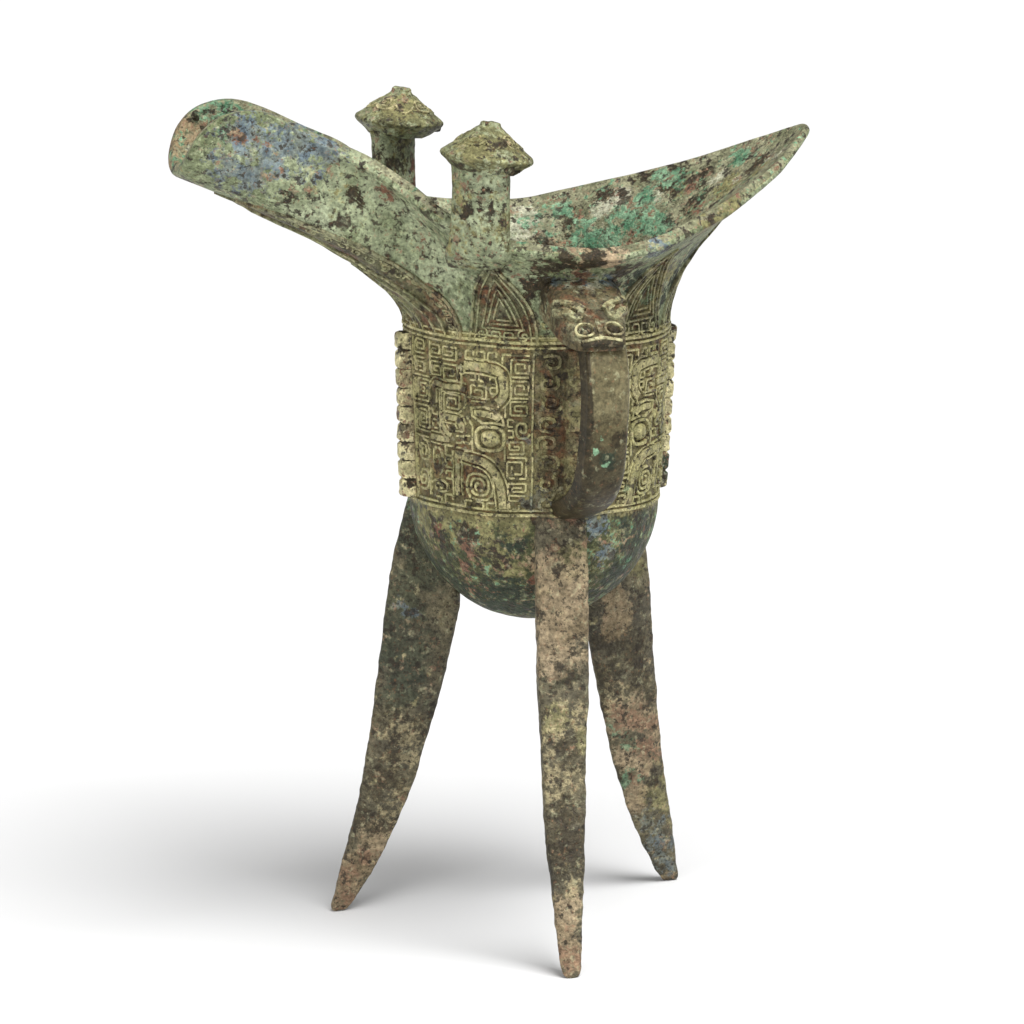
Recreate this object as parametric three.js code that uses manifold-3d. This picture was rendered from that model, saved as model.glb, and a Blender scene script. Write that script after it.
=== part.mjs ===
// A cast bronze jue: a tripod wine vessel with a spout, a tail, two capped posts and a strap handle.
// Millimetres, +Z up. The spout points along -X, the tail along +X and the handle along -Y.
// The vessel is modelled round the body's axis, and moved at the end so that the origin is the
// middle of its bounding box at floor height.

import * as THREE from 'three';
import { mergeVertices } from 'three/addons/utils/BufferGeometryUtils.js';
import Module from 'manifold-3d';

const wasm = await Module();
wasm.setup();

// Body and bowl, round the axis x = y = 0
const wallThickness = 2.5;
const lipThickness = 3.6;
const friezeBottom = 111.3;
const friezeTop = 153.8;
const bodyRadiusBottom = 31.1;
const bodyRadiusTop = 32.7;
const bowlDepth = 31.8;

// Mouth, spout and tail
const mouthHalfWidth = 45.3;
const mouthHeight = 176.2;
const spoutReach = 91.3;
const spoutTopHeight = 208.4;
const tailReach = 69.5;
const tailTipHeight = 200.6;
const spoutNeckStart = 10.5;
const tailNeckStart = 19.5;
const spoutNeckEnd = 0.42;
const tailNeckEnd = 0.36;

// Legs
const legAngles = [30, 150, 267];
const footRadii = [53, 49.7, 49.7];
const bodyLean = 1.6;
const footDepth = 4.7;
const footWidth = 4.6;
const legChamfer = 1.3;

// Flanges up the frieze
const flangeAngles = [0, 90, 180];
const flangeThickness = 4;
const flangeDepth = 3.5;
const flangeNotchDepth = 0.8;
const flangeLobes = 9;

// Posts and caps
const postPlacesX = [-24.8, -28];
const postPlaceY = 36.9;
const postLength = 14.4;
const postThickness = 6.5;
const postTurn = 36;
const capShift = 1.4;
const capRadius = 11.2;
const capRise = 24.6;
const capConeHeight = 7.2;
const capUnderHeight = 4;
const capButtonRadius = 2.3;
const capButtonHeight = 1.1;
const capTilt = 6;

// Handle and the ox head on it
const handleAngle = 273;
const handleOuterRadius = 56;
const handleThickness = 5;
const handleOuterWidth = 10.4;
const handleInnerWidth = 13.6;
const handleTopRise = 8;
const handleShoulderDrop = 6.5;
const handleShoulderInset = 2.6;
const handleLowerInset = 2.4;
const handleTailInset = 9.5;
const handleTailRise = 6.5;
const headWidth = 17.5;
const headRaise = 0.9;
const eyeRadius = 2.1;

// Relief
const reliefRaise = 0.8;
const reliefSink = 1.6;
const borderWidth = 1;
const maskAngle = 271.5;
const maskEyeOffset = 36;
const maskEyeHeight = 130.4;
const maskEyeRadius = 3.4;

// Fineness of the faceted surfaces
const columnsPerStation = 4 / 3;
const bowlRows = 5;
const bodyRows = 2;
const neckRows = 8;
const borderSteps = 28;
const bladeStep = 5;

// Rim from the spout's tip along one side to the tail's tip. Columns: place along X as a share of the
// spout's or the tail's reach, half width as a share of the mouth's, height as a share of the rise
// from the mouth to the spout's top or the tail's tip, the angle round the body from which the wall
// comes up, the heading of the wall at the rim and its rise. Angles are degrees from -X.
const rimStations = [
  [-1.0, 0, 0.5, 0, 0, 21],
  [-1.0, 0.15, 0.54, 11, 0, 22],
  [-0.988, 0.255, 0.67, 19, 0, 26],
  [-0.955, 0.3, 0.85, 24, 0, 32],
  [-0.895, 0.305, 0.98, 27, 0, 36],
  [-0.793, 0.31, 1.0, 30, 2, 42],
  [-0.674, 0.327, 0.82, 34, 6, 46],
  [-0.543, 0.386, 0.62, 39, 18, 46],
  [-0.446, 0.511, 0.43, 46, 38, 44],
  [-0.359, 0.705, 0.22, 55, 55, 40],
  [-0.239, 0.852, 0.068, 66, 70, 36],
  [-0.065, 0.966, 0, 82, 86, 34],
  [0.116, 1.0, 0, 96, 95, 34],
  [0.291, 0.959, 0.1, 109, 108, 35],
  [0.466, 0.807, 0.245, 124, 122, 36],
  [0.64, 0.625, 0.43, 140, 138, 38],
  [0.815, 0.398, 0.68, 157, 156, 40],
  [0.961, 0.136, 0.93, 172, 172, 42],
  [1.0, 0, 1.0, 180, 180, 42],
];

// Leg sections from the bowl down to the foot. Columns: height as a share of the frieze's lower
// edge, then the outer and the inner edge as shares of the foot's outer edge, and the width as a
// share of the foot's.
const legStations = [
  [1.02, 0.585, 0.42, 2.85],
  [0.87, 0.66, 0.375, 3.0],
  [0.72, 0.71, 0.36, 2.92],
  [0.5, 0.77, 0.465, 2.62],
  [0.29, 0.84, 0.595, 2.2],
  [0.11, 0.94, 0.765, 1.6],
  [0, 1.0, 0.91, 1.02],
];

const radians = THREE.MathUtils.degToRad;
const lerp = THREE.MathUtils.lerp;

function toSolid(positions, triangles) {
  const geometry = new THREE.BufferGeometry();
  geometry.setAttribute('position', new THREE.Float32BufferAttribute(positions, 3));
  geometry.setIndex(triangles);
  const merged = mergeVertices(geometry, 1e-4);
  const mesh = new wasm.Mesh({
    numProp: 3,
    vertProperties: Float32Array.from(merged.attributes.position.array),
    triVerts: Uint32Array.from(merged.index.array),
  });
  const solid = new wasm.Manifold(mesh);
  return solid.volume() < 0 ? toSolid(positions, flipped(triangles)) : solid;
}

function flipped(triangles) {
  const result = [];
  for (let i = 0; i < triangles.length; i += 3) {
    result.push(triangles[i], triangles[i + 2], triangles[i + 1]);
  }
  return result;
}

// Joins rings of points, each with as many points, into a closed solid. An end ring with one
// point is a tip; any other end ring is closed by a fan round its middle.
function loft(rings) {
  const positions = [];
  const triangles = [];
  const starts = [];
  const all = [...rings];
  if (all[0].length > 1) {
    all.unshift([middleOf(all[0])]);
  }
  if (all[all.length - 1].length > 1) {
    all.push([middleOf(all[all.length - 1])]);
  }
  for (const ring of all) {
    starts.push(positions.length / 3);
    ring.forEach((point) => positions.push(point.x, point.y, point.z));
  }
  for (let row = 0; row < all.length - 1; row += 1) {
    const count = Math.max(all[row].length, all[row + 1].length);
    for (let i = 0; i < count; i += 1) {
      const next = (i + 1) % count;
      const a = starts[row] + (all[row].length > 1 ? i : 0);
      const b = starts[row] + (all[row].length > 1 ? next : 0);
      const c = starts[row + 1] + (all[row + 1].length > 1 ? next : 0);
      const d = starts[row + 1] + (all[row + 1].length > 1 ? i : 0);
      if (a !== b) {
        triangles.push(a, b, c);
      }
      if (c !== d) {
        triangles.push(a, c, d);
      }
    }
  }
  return toSolid(positions, triangles);
}

function middleOf(ring) {
  const middle = new THREE.Vector3();
  ring.forEach((point) => middle.add(point));
  return middle.divideScalar(ring.length);
}

function joined(solids) {
  return solids.reduce((whole, solid) => whole.add(solid));
}

// A smooth curve through the rows of a table, each column on its own
function splineRow(rows, place) {
  const last = rows.length - 1;
  const index = Math.min(Math.floor(place), last - 1);
  const t = place - index;
  const at = (i) => rows[Math.min(Math.max(i, 0), last)];
  return rows[0].map((_, column) => {
    const [a, b, c, d] = [-1, 0, 1, 2].map((step) => at(index + step)[column]);
    const curve = (2 * a - 5 * b + 4 * c - d) * t * t + (3 * (b - c) + d - a) * t * t * t;
    return 0.5 * (2 * b + (c - a) * t + curve);
  });
}

// Angles from -X towards +Y become directions in plan
function heading(angle) {
  return new THREE.Vector3(-Math.cos(radians(angle)), Math.sin(radians(angle)), 0);
}

// The rim's stations on both sides, with one more turn at each end so that the curve closes
function rimRows() {
  const side = rimStations.map(([along, half, rise, body, wall, lift]) => {
    const reach = along < 0 ? spoutReach : tailReach;
    const top = along < 0 ? spoutTopHeight : tailTipHeight;
    const height = lerp(mouthHeight, top, rise);
    return [along * reach, half * mouthHalfWidth, height, body, wall, lift];
  });
  const mirror = ([x, y, z, body, wall, lift], turn) => [x, -y, z, turn - body, turn - wall, lift];
  const other = side.slice(1, -1).reverse().map((row) => mirror(row, 360));
  const before = mirror(side[1], 0);
  const onceRound = ([x, y, z, body, wall, lift]) => [x, y, z, body + 360, wall + 360, lift];
  const after = [side[0], side[1]].map(onceRound);
  return [before, ...side, ...other, ...after];
}

const rimTable = rimRows();
const rimCount = rimTable.length - 3;

function rimAt(place) {
  const wrapped = ((place % rimCount) + rimCount) % rimCount;
  const [x, y, z, body, wall, lift] = splineRow(rimTable, wrapped + 1);
  return { point: new THREE.Vector3(x, y, z), body, wall, lift };
}

function bodyRadius(height) {
  return lerp(bodyRadiusBottom, bodyRadiusTop, (height - friezeBottom) / (friezeTop - friezeBottom));
}

function bodyPoint(angle, height, out = 0) {
  return heading(angle).multiplyScalar(bodyRadius(height) + out).setZ(height);
}

// The neck's wall from the top of the frieze (share 0) to the rim (share 1)
function neckPoint(place, share) {
  const rim = rimAt(place);
  const start = bodyPoint(rim.body, friezeTop);
  const towardsTail = (1 - Math.cos(radians(rim.body))) / 2;
  const startPull = start.clone().setZ(friezeTop + lerp(spoutNeckStart, tailNeckStart, towardsTail));
  const reach = start.distanceTo(rim.point) * lerp(spoutNeckEnd, tailNeckEnd, towardsTail);
  const flare = heading(rim.wall).multiplyScalar(Math.cos(radians(rim.lift)));
  flare.z = Math.sin(radians(rim.lift));
  const endPull = rim.point.clone().addScaledVector(flare, -reach);
  return new THREE.CubicBezierCurve3(start, startPull, endPull, rim.point).getPoint(share);
}

// The outer surface as rows of points, from the bowl's lowest row to the rim
function outerRows() {
  const columns = rimCount * columnsPerStation;
  const places = Array.from({ length: columns }, (_, i) => i / columnsPerStation);
  const rows = [];
  for (let i = 1; i <= bowlRows; i += 1) {
    const turn = radians(90 * i / bowlRows);
    const radius = bodyRadiusBottom * Math.sin(turn);
    const height = friezeBottom - bowlDepth * Math.cos(turn);
    rows.push(places.map((place) => heading(rimAt(place).body).multiplyScalar(radius).setZ(height)));
  }
  for (let i = 1; i <= bodyRows; i += 1) {
    const height = lerp(friezeBottom, friezeTop, i / bodyRows);
    rows.push(places.map((place) => bodyPoint(rimAt(place).body, height)));
  }
  for (let i = 1; i <= neckRows; i += 1) {
    rows.push(places.map((place) => neckPoint(place, i / neckRows)));
  }
  return rows;
}

// Every second row, moved inwards by the wall's thickness
function innerRows(rows) {
  const firstNeckRow = bowlRows + bodyRows;
  const moved = rows.map((row, i) => row.map((point, column) => {
    const next = row[(column + 1) % row.length];
    const previous = row[(column + row.length - 1) % row.length];
    const above = rows[Math.min(i + 1, rows.length - 1)][column];
    const below = rows[Math.max(i - 1, 0)][column];
    const inwards = above.clone().sub(below).cross(next.clone().sub(previous)).normalize();
    if (inwards.dot(heading(rimAt(column / columnsPerStation).body)) > 0) {
      inwards.negate();
    }
    const share = Math.max(0, (i - firstNeckRow + 1) / neckRows);
    return point.clone().addScaledVector(inwards, lerp(wallThickness, lipThickness, share * share));
  }));
  return moved.filter((_, i) => i % 2 === 1);
}

// The edge of the lip, raised a little between its outer and inner corners
function lipRow(outer, inner) {
  const rise = lipThickness * 0.25;
  return outer.map((point, i) => point.clone().lerp(inner[i], 0.5).add(new THREE.Vector3(0, 0, rise)));
}

function shell(rows, inner) {
  const bottom = new THREE.Vector3(0, 0, friezeBottom - bowlDepth);
  const innerBottom = bottom.clone().setZ(bottom.z + wallThickness);
  const top = rows.length - 1;
  const lip = lipRow(rows[top], inner[inner.length - 1]);
  return loft([[bottom], ...rows, lip, ...[...inner].reverse(), [innerBottom]]);
}

// The room inside, closed above the rim, which trims what is joined to the outside
function cavity(inner) {
  const bottom = new THREE.Vector3(0, 0, friezeBottom - bowlDepth + wallThickness);
  const lid = new THREE.Vector3(0, 0, spoutTopHeight);
  return loft([[bottom], ...inner, [lid]]);
}

// A blade leg: a flat outer face with chamfered edges, tapering to a ridge on the inside
function leg(angle, index) {
  const footEdge = footRadii[index] + footDepth / 2;
  const topEdge = lerp(...footRadii.slice(1), 0.5) + footDepth / 2;
  const rings = legStations.map(([share, outer, inner, width]) => {
    const edge = lerp(footEdge, topEdge, Math.min(1, share));
    const outerEdge = outer * edge;
    const innerEdge = Math.min(inner * edge, outerEdge - footDepth);
    const half = width * footWidth / 2;
    const chamfer = Math.min(legChamfer, half * 0.4);
    const middle = lerp(outerEdge, innerEdge, 0.5);
    const section = [
      [outerEdge, half - chamfer],
      [outerEdge - chamfer, half],
      [middle, half * 0.8],
      [innerEdge + chamfer, half * 0.32],
      [innerEdge, 0],
      [innerEdge + chamfer, -half * 0.32],
      [middle, -half * 0.8],
      [outerEdge - chamfer, -half],
      [outerEdge, chamfer - half],
    ];
    return section.map(([radius, side]) => {
      const point = placed(angle, radius, side, share * friezeBottom);
      point.z += (1 - Math.min(1, share)) * floorUnder(point);
      return point;
    });
  });
  return loft(rings);
}

// The body leans a little towards the tail, so the floor rises under it on that side
function floorUnder(point) {
  return Math.tan(radians(bodyLean)) * point.x;
}

// Points in a frame that stands out from the axis at an angle from +X
function placed(angle, radius, side, height) {
  const out = new THREE.Vector3(Math.cos(radians(angle)), Math.sin(radians(angle)), 0);
  const across = new THREE.Vector3(-out.y, out.x, 0);
  return out.multiplyScalar(radius).addScaledVector(across, side).setZ(height);
}

// A flange with a notched outer edge
function flange(angle) {
  const rings = [];
  const steps = flangeLobes * 2;
  for (let i = 0; i <= steps; i += 1) {
    const height = lerp(friezeBottom, friezeTop - 1, i / steps);
    const notch = i % 2 === 0 ? flangeNotchDepth : 0;
    const outer = bodyRadius(height) + flangeDepth - notch;
    const half = flangeThickness / 2;
    const section = [[bodyRadiusBottom - wallThickness, half], [outer, half * 0.85]];
    const ring = [...section, ...section.map(([radius, side]) => [radius, -side]).reverse()];
    rings.push(ring.map(([radius, side]) => placed(angle, radius, side, height)));
  }
  return loft(rings);
}

// A closed curve with rounded corners between a circle (power 1) and a rectangle (small power)
function roundedRing(halfLength, halfWidth, count, power) {
  return Array.from({ length: count }, (_, i) => {
    const turn = 2 * Math.PI * i / count;
    const shape = (value) => Math.sign(value) * Math.abs(value) ** power;
    return [halfLength * shape(Math.cos(turn)), halfWidth * shape(Math.sin(turn))];
  });
}

// A post on the rim, on the side given by the sign, with a wider foot that runs into the wall
function post(side, placeX) {
  const turn = radians(postTurn * side);
  const capFoot = mouthHeight + capRise - capUnderHeight;
  const stations = [
    [mouthHeight - 6, 0.9, 0.3, 2.2],
    [mouthHeight, 1.1, 0.85, 1.2],
    [mouthHeight + 4, 1.04, 1, 0],
    [capFoot - 6, 0.97, 1, 0],
    [capFoot + 1.5, 1, 1.05, 0],
  ];
  const rings = stations.map(([height, length, width, inset]) => {
    const ring = roundedRing(postLength / 2 * length, postThickness / 2 * width, 12, 0.75);
    return ring.map(([along, across]) => new THREE.Vector3(
      placeX + along * Math.cos(turn) - across * Math.sin(turn),
      side * (postPlaceY - inset) + along * Math.sin(turn) + across * Math.cos(turn),
      height,
    ));
  });
  return loft(rings);
}

// An umbrella cap: a cone above the brim, a flatter one below it, and a button on top
function cap(side, placeX) {
  const profile = [
    [postLength * 0.48, -capUnderHeight],
    [capRadius * 0.94, -1.1],
    [capRadius, 0],
    [capRadius * 0.9, 1.2],
    [capRadius * 0.5, capConeHeight * 0.66],
    [capButtonRadius * 1.1, capConeHeight],
    [capButtonRadius, capConeHeight + capButtonHeight],
  ];
  const tilt = new THREE.Matrix4().makeRotationY(radians(capTilt));
  const centre = new THREE.Vector3(placeX + capShift, side * postPlaceY, mouthHeight + capRise);
  const rings = profile.map(([radius, height]) => {
    const ring = roundedRing(radius, radius, 16, 1);
    return ring.map(([x, y]) => new THREE.Vector3(x, y, height).applyMatrix4(tilt).add(centre));
  });
  return loft(rings);
}

// The strap handle, a C from under the head down to the frieze's lower edge
function handle() {
  const middle = handleOuterRadius - handleThickness / 2;
  const top = friezeTop + handleTopRise;
  const curve = new THREE.CatmullRomCurve3([
    new THREE.Vector3(bodyRadiusTop - 2, top + 1.5, 0),
    new THREE.Vector3(lerp(bodyRadiusTop, middle, 0.5), top, 0),
    new THREE.Vector3(middle - handleShoulderInset, top - handleShoulderDrop, 0),
    new THREE.Vector3(middle, lerp(friezeBottom, top, 0.62), 0),
    new THREE.Vector3(middle - handleLowerInset, lerp(friezeBottom, top, 0.3), 0),
    new THREE.Vector3(middle - handleTailInset, friezeBottom + handleTailRise, 0),
    new THREE.Vector3(bodyRadiusBottom - 1, friezeBottom + 1, 0),
  ]);
  const steps = 14;
  const rings = [];
  for (let i = 0; i <= steps; i += 1) {
    const point = curve.getPoint(i / steps);
    const along = curve.getTangent(i / steps);
    const out = new THREE.Vector2(-along.y, along.x);
    const section = [
      [0.5, 0], [0.42, 0.36], [0.24, 0.5], [-0.5, 0.5],
      [-0.5, -0.5], [0.24, -0.5], [0.42, -0.36],
    ];
    rings.push(section.map(([depth, side]) => {
      const width = depth < 0 ? handleInnerWidth : handleOuterWidth;
      const radius = point.x + out.x * depth * handleThickness;
      const height = point.y + out.y * depth * handleThickness;
      return placed(handleAngle, radius, side * width, height);
    }));
  }
  return loft(rings);
}

// The head's upper line and lower line, from the neck out to the snout. Columns: distance from the
// body as a share of the handle's, upper height and lower height above the frieze, width as a share
// of the head's, and how far its middle is left of the handle's.
const headShares = [
  [-0.073, 17.6, 5, 1.09, 0.6],
  [0.227, 16.4, 3.5, 1.07, 1],
  [0.464, 13.2, 2.4, 1.02, 1.4],
  [0.678, 9.8, 1.8, 0.91, 1.8],
  [0.85, 6.6, 1.6, 0.77, 2],
  [0.957, 3.9, 1.8, 0.67, 1.9],
];
const headStations = headShares.map(([share, ...rest]) => {
  return [lerp(bodyRadiusTop, handleOuterRadius, share), ...rest];
});

function headRing([radius, upper, lower, width, shift]) {
  const halfHeight = (upper - lower) / 2;
  const ring = roundedRing(headWidth / 2 * width, halfHeight, 12, 0.6);
  const middle = friezeTop + lower + halfHeight;
  return ring.map(([side, up]) => placed(handleAngle, radius, side - shift, middle + up));
}

// A point on the head's upper face: along runs from the neck (0) to the snout (5)
function headPoint(side, along) {
  const [radius, upper, , width, shift] = splineRow(headStations, along);
  const edge = Math.min(1, Math.abs(side) / (headWidth / 2 * width));
  const drop = 1.6 * edge ** 4;
  return placed(handleAngle, radius, side - shift, friezeTop + upper - drop);
}

// A raised band along a line of places on a surface. The surface gives a point and is asked for
// its neighbours, so that the band stands square to it.
function band(places, width, surface, raise = reliefRaise, sink = reliefSink) {
  const points = places.map(([u, v]) => surface(u, v));
  const step = 0.05;
  const rings = places.map(([u, v], i) => {
    const overU = surface(u + step, v).sub(surface(u - step, v));
    const overV = surface(u, v + step).sub(surface(u, v - step));
    const normal = overU.cross(overV).normalize();
    const before = points[Math.max(i - 1, 0)];
    const after = points[Math.min(i + 1, points.length - 1)];
    const across = after.clone().sub(before).cross(normal).normalize();
    const share = i === 0 || i === places.length - 1 ? 0.7 : 1;
    const corner = (side, up) => points[i].clone()
      .addScaledVector(across, side * width / 2 * share)
      .addScaledVector(normal, up);
    return [corner(1, -sink), corner(1, raise), corner(-1, raise), corner(-1, -sink)];
  });
  return loft(rings);
}

// Places between the given ones, so that a band bends smoothly
function smoothPlaces(places, steps) {
  return Array.from({ length: steps + 1 }, (_, i) => splineRow(places, i / steps * (places.length - 1)));
}

function oxHead() {
  const parts = [loft(headStations.map(headRing))];
  for (const side of [-1, 1]) {
    const horn = [[8.2, 1.9], [6.9, 2.25], [5, 2.65], [3, 3.15], [1.7, 3.1], [1.6, 2.8]];
    const places = smoothPlaces(horn.map(([x, along]) => [side * x, along]), 7);
    parts.push(band(places, 1.7, headPoint, headRaise));
    const eye = headPoint(side * 3.5, 3.95);
    const ring = new THREE.SphereGeometry(eyeRadius, 8, 5);
    ring.scale(1, 1, 0.75);
    ring.translate(eye.x, eye.y, eye.z - 0.3);
    parts.push(geometrySolid(ring));
  }
  return joined(parts);
}

function geometrySolid(geometry) {
  const bare = geometry.clone();
  bare.deleteAttribute('normal');
  bare.deleteAttribute('uv');
  const merged = mergeVertices(bare, 1e-4);
  return toSolid(Array.from(merged.attributes.position.array), Array.from(merged.index.array));
}

// The main bands of half a taotie mask. Columns: degrees from the mask's middle and height in mm.
const hornBand = [
  [44, 150], [38, 149.6], [33, 148.2], [31.2, 144], [31.8, 141.2], [34.4, 139.8], [37, 141],
];
const browBand = [[46.5, 136.4], [41.5, 137.3], [35.7, 136.8], [31.4, 134.2]];
const jawBand = [[54.9, 125.6], [46.4, 125.2], [37.7, 123.2], [31.7, 119.6], [28.4, 113.4]];
const curlBand = [
  [54.6, 125.2], [55, 118.5], [51.5, 114.2], [44, 113.6], [39.3, 117.6], [44, 121.8], [49, 118.6],
];
const bodyBand = [
  [60.5, 145], [61.1, 138.7], [63.5, 134.5], [59.4, 130.5], [61, 127.4], [71, 125.4], [70.5, 119.4],
];

const farMaskBands = [[hornBand, 2.2], [jawBand, 1.9], [bodyBand, 1.6]];
const nearMaskBands = [...farMaskBands, [browBand, 1.8], [curlBand, 1.5]];

function maskHalf(centre, side, bands) {
  const surface = (offset, height) => bodyPoint(centre + side * offset, height);
  const parts = bands.map(([line, width]) => band(smoothPlaces(line, line.length + 1), width, surface));
  const eye = new THREE.SphereGeometry(maskEyeRadius, 10, 6);
  eye.scale(1, 1, 1.05);
  const middle = bodyPoint(centre + side * maskEyeOffset, maskEyeHeight, reliefRaise + 0.6 - maskEyeRadius);
  eye.translate(middle.x, middle.y, middle.z);
  parts.push(geometrySolid(eye));
  return joined(parts);
}

// Rings round the frieze, two above and one below
function borders() {
  const heights = [friezeTop - borderWidth / 2, friezeBottom + borderWidth / 2];
  return joined(heights.map((height) => {
    const rings = [];
    for (let i = 0; i < borderSteps; i += 1) {
      const angle = 360 * i / borderSteps;
      rings.push([
        bodyPoint(angle, height - borderWidth / 2, -reliefSink),
        bodyPoint(angle, height - borderWidth / 2, reliefRaise * 0.6),
        bodyPoint(angle, height + borderWidth / 2, reliefRaise * 0.6),
        bodyPoint(angle, height + borderWidth / 2, -reliefSink),
      ]);
    }
    return closedLoop(rings);
  }));
}

// Rings that follow each other round a loop, the last one meeting the first
function closedLoop(rings) {
  const positions = rings.flat().flatMap((point) => [point.x, point.y, point.z]);
  const size = rings[0].length;
  const triangles = [];
  rings.forEach((_, row) => {
    const next = (row + 1) % rings.length;
    for (let i = 0; i < size; i += 1) {
      const j = (i + 1) % size;
      const corners = [row * size + i, row * size + j, next * size + j, next * size + i];
      triangles.push(corners[0], corners[1], corners[2], corners[0], corners[2], corners[3]);
    }
  });
  return toSolid(positions, triangles);
}

// The place on the rim whose wall comes up from a given angle of the body
function placeOfAngle(angle) {
  let low = 0;
  let high = rimCount;
  for (let i = 0; i < 30; i += 1) {
    const middle = (low + high) / 2;
    if (rimAt(middle).body < angle) {
      low = middle;
    } else {
      high = middle;
    }
  }
  return low;
}

// Blades round the neck. Columns: degrees from -X of the middle, half width in degrees and the
// apex as a share of the neck's height.
const blades = [
  [59.5, 15.5, 0.66],
  [124.5, 15.5, 0.66],
  [180, 36, 0.95],
  [235.5, 15.5, 0.66],
  [300.5, 15.5, 0.66],
  [0, 40, 0.66],
];

function blade([centre, half, apex]) {
  const surface = (angle, share) => neckPoint(placeOfAngle((angle + 360) % 360), share);
  const edge = [1, 0.93, 0.75, 0.46, 0.16, 0.02];
  const sides = [-1, 1].map((side) => {
    const places = edge.map((part, i) => [centre + side * half * part, apex * i / (edge.length - 1) + 0.01]);
    const smooth = smoothPlaces(places, Math.ceil(half / bladeStep));
    return band(smooth, borderWidth * 1.2, surface, reliefRaise * 0.5, wallThickness * 0.85);
  });
  return joined(sides);
}

function vessel() {
  const rows = outerRows();
  const inner = innerRows(rows);
  const outside = joined([
    ...legAngles.map(leg),
    ...flangeAngles.map(flange),
    handle(),
    oxHead(),
    borders(),
    ...blades.map(blade),
    ...[-1, 1].map((side) => maskHalf(180 - maskAngle, side, nearMaskBands)),
    ...[-1, 1].map((side) => maskHalf(360 - maskAngle, side, farMaskBands)),
  ]);
  const trimmed = outside.subtract(cavity(inner));
  const posts = [-1, 1].flatMap((side, i) => [post(side, postPlacesX[i]), cap(side, postPlacesX[i])]);
  return joined([shell(rows, inner), trimmed, ...posts]);
}

function toGeometry(solid) {
  const mesh = solid.getMesh();
  const geometry = new THREE.BufferGeometry();
  geometry.setAttribute('position', new THREE.BufferAttribute(Float32Array.from(mesh.vertProperties), 3));
  geometry.setIndex(new THREE.BufferAttribute(Uint32Array.from(mesh.triVerts), 1));
  geometry.computeVertexNormals();
  return geometry;
}

// The vessel is set on its feet, and the origin goes to the middle of its box at floor height
function centred(geometry) {
  geometry.rotateY(radians(bodyLean));
  geometry.computeBoundingBox();
  const middle = geometry.boundingBox.getCenter(new THREE.Vector3());
  geometry.translate(-middle.x, -middle.y, -geometry.boundingBox.min.z);
  return geometry;
}

const bronze = new THREE.MeshStandardMaterial({
  name: 'patinated_bronze',
  color: '#7f8a66',
  roughness: 0.7,
  metalness: 0.3,
});

const jue = new THREE.Mesh(centred(toGeometry(vessel())), bronze);
jue.name = 'jue_vessel';

const root = new THREE.Group();
root.name = 'bronze_jue';
root.add(jue);

export default root;
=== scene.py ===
# A cast bronze jue: the vessel's patinated surface, its fine relief and its setting.
# Shapes are worked out in millimetres round the body's axis, then leaned and moved on to the frame.

import math

import bpy
import numpy as np
from mathutils import Matrix, Vector, noise


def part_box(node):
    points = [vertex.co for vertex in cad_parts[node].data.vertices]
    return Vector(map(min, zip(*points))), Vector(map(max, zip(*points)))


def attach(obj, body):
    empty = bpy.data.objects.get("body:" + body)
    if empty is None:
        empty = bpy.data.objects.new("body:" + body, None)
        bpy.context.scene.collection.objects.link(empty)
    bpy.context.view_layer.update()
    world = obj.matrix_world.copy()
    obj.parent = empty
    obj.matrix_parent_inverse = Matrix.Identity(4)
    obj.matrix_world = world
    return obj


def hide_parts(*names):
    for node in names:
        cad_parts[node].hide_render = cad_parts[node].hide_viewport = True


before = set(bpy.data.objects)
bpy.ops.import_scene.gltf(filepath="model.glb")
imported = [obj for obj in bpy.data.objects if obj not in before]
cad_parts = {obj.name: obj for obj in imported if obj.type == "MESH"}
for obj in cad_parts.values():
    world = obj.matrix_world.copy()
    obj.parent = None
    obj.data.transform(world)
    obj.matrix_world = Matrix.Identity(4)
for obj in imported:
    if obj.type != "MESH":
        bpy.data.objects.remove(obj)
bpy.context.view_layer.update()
MM = 0.001

# noise_vector moves its noise by amounts drawn from a seed, which is the clock where none is set
NOISE_SEED = 5
noise.seed_set(NOISE_SEED)

# Body and bowl
WALL = 2.5
LIP = 3.6
TAIL_LIP = 2
FRIEZE_BOTTOM = 111.3
FRIEZE_TOP = 153.8
RADIUS_BOTTOM = 31.1
RADIUS_TOP = 32.7
BOWL_DEPTH = 31.8
BODY_LEAN = 1.6

# Mouth, spout and tail
MOUTH_HALF_WIDTH = 45.3
MOUTH_HEIGHT = 176.2
SPOUT_REACH = 91.3
SPOUT_TOP = 208.4
TAIL_REACH = 69.5
TAIL_TIP = 200.6
NECK_START = (10.5, 19.5)
NECK_END = (0.42, 0.36)

# Legs
LEG_ANGLES = (30, 150, 267)
FOOT_RADII = (53, 49.7, 49.7)
FOOT_DEPTH = 4.7
FOOT_WIDTH = 4.6
LEG_CHAMFER = 1.3
LEG_ROWS = 150
TOE = 2.4
TOE_WIDTH = 0.7

# Flanges
FLANGE_ANGLES = (0, 90, 180)
FLANGE_THICKNESS = 4
FLANGE_DEPTH = 3.5
FLANGE_NOTCH = 0.7
FLANGE_LOBES = 9
FLANGE_TOP = FRIEZE_TOP - 1
LOBE_STEPS = 12

# Posts and caps
POSTS = ((-1, -24.8), (1, -28))
POST_Y = 36.9
POST_LENGTH = 14.4
POST_THICKNESS = 6.5
POST_TURN = 36
CAP_SHIFT = 1.4
CAP_RADIUS = 11.2
CAP_RISE = 24.6
CAP_CONE = 7.2
CAP_UNDER = 4
CAP_BUTTON = 2.3
CAP_BUTTON_HEIGHT = 1.1
CAP_TILT = 6
CAP_SIDES = 64

# Handle and head
HANDLE_ANGLE = 273
HANDLE_RADIUS = 56
HANDLE_THICKNESS = 5
HANDLE_OUTER_WIDTH = 10.4
HANDLE_INNER_WIDTH = 13.6
HEAD_WIDTH = 17.5
HEAD_POWER = 0.45

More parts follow.
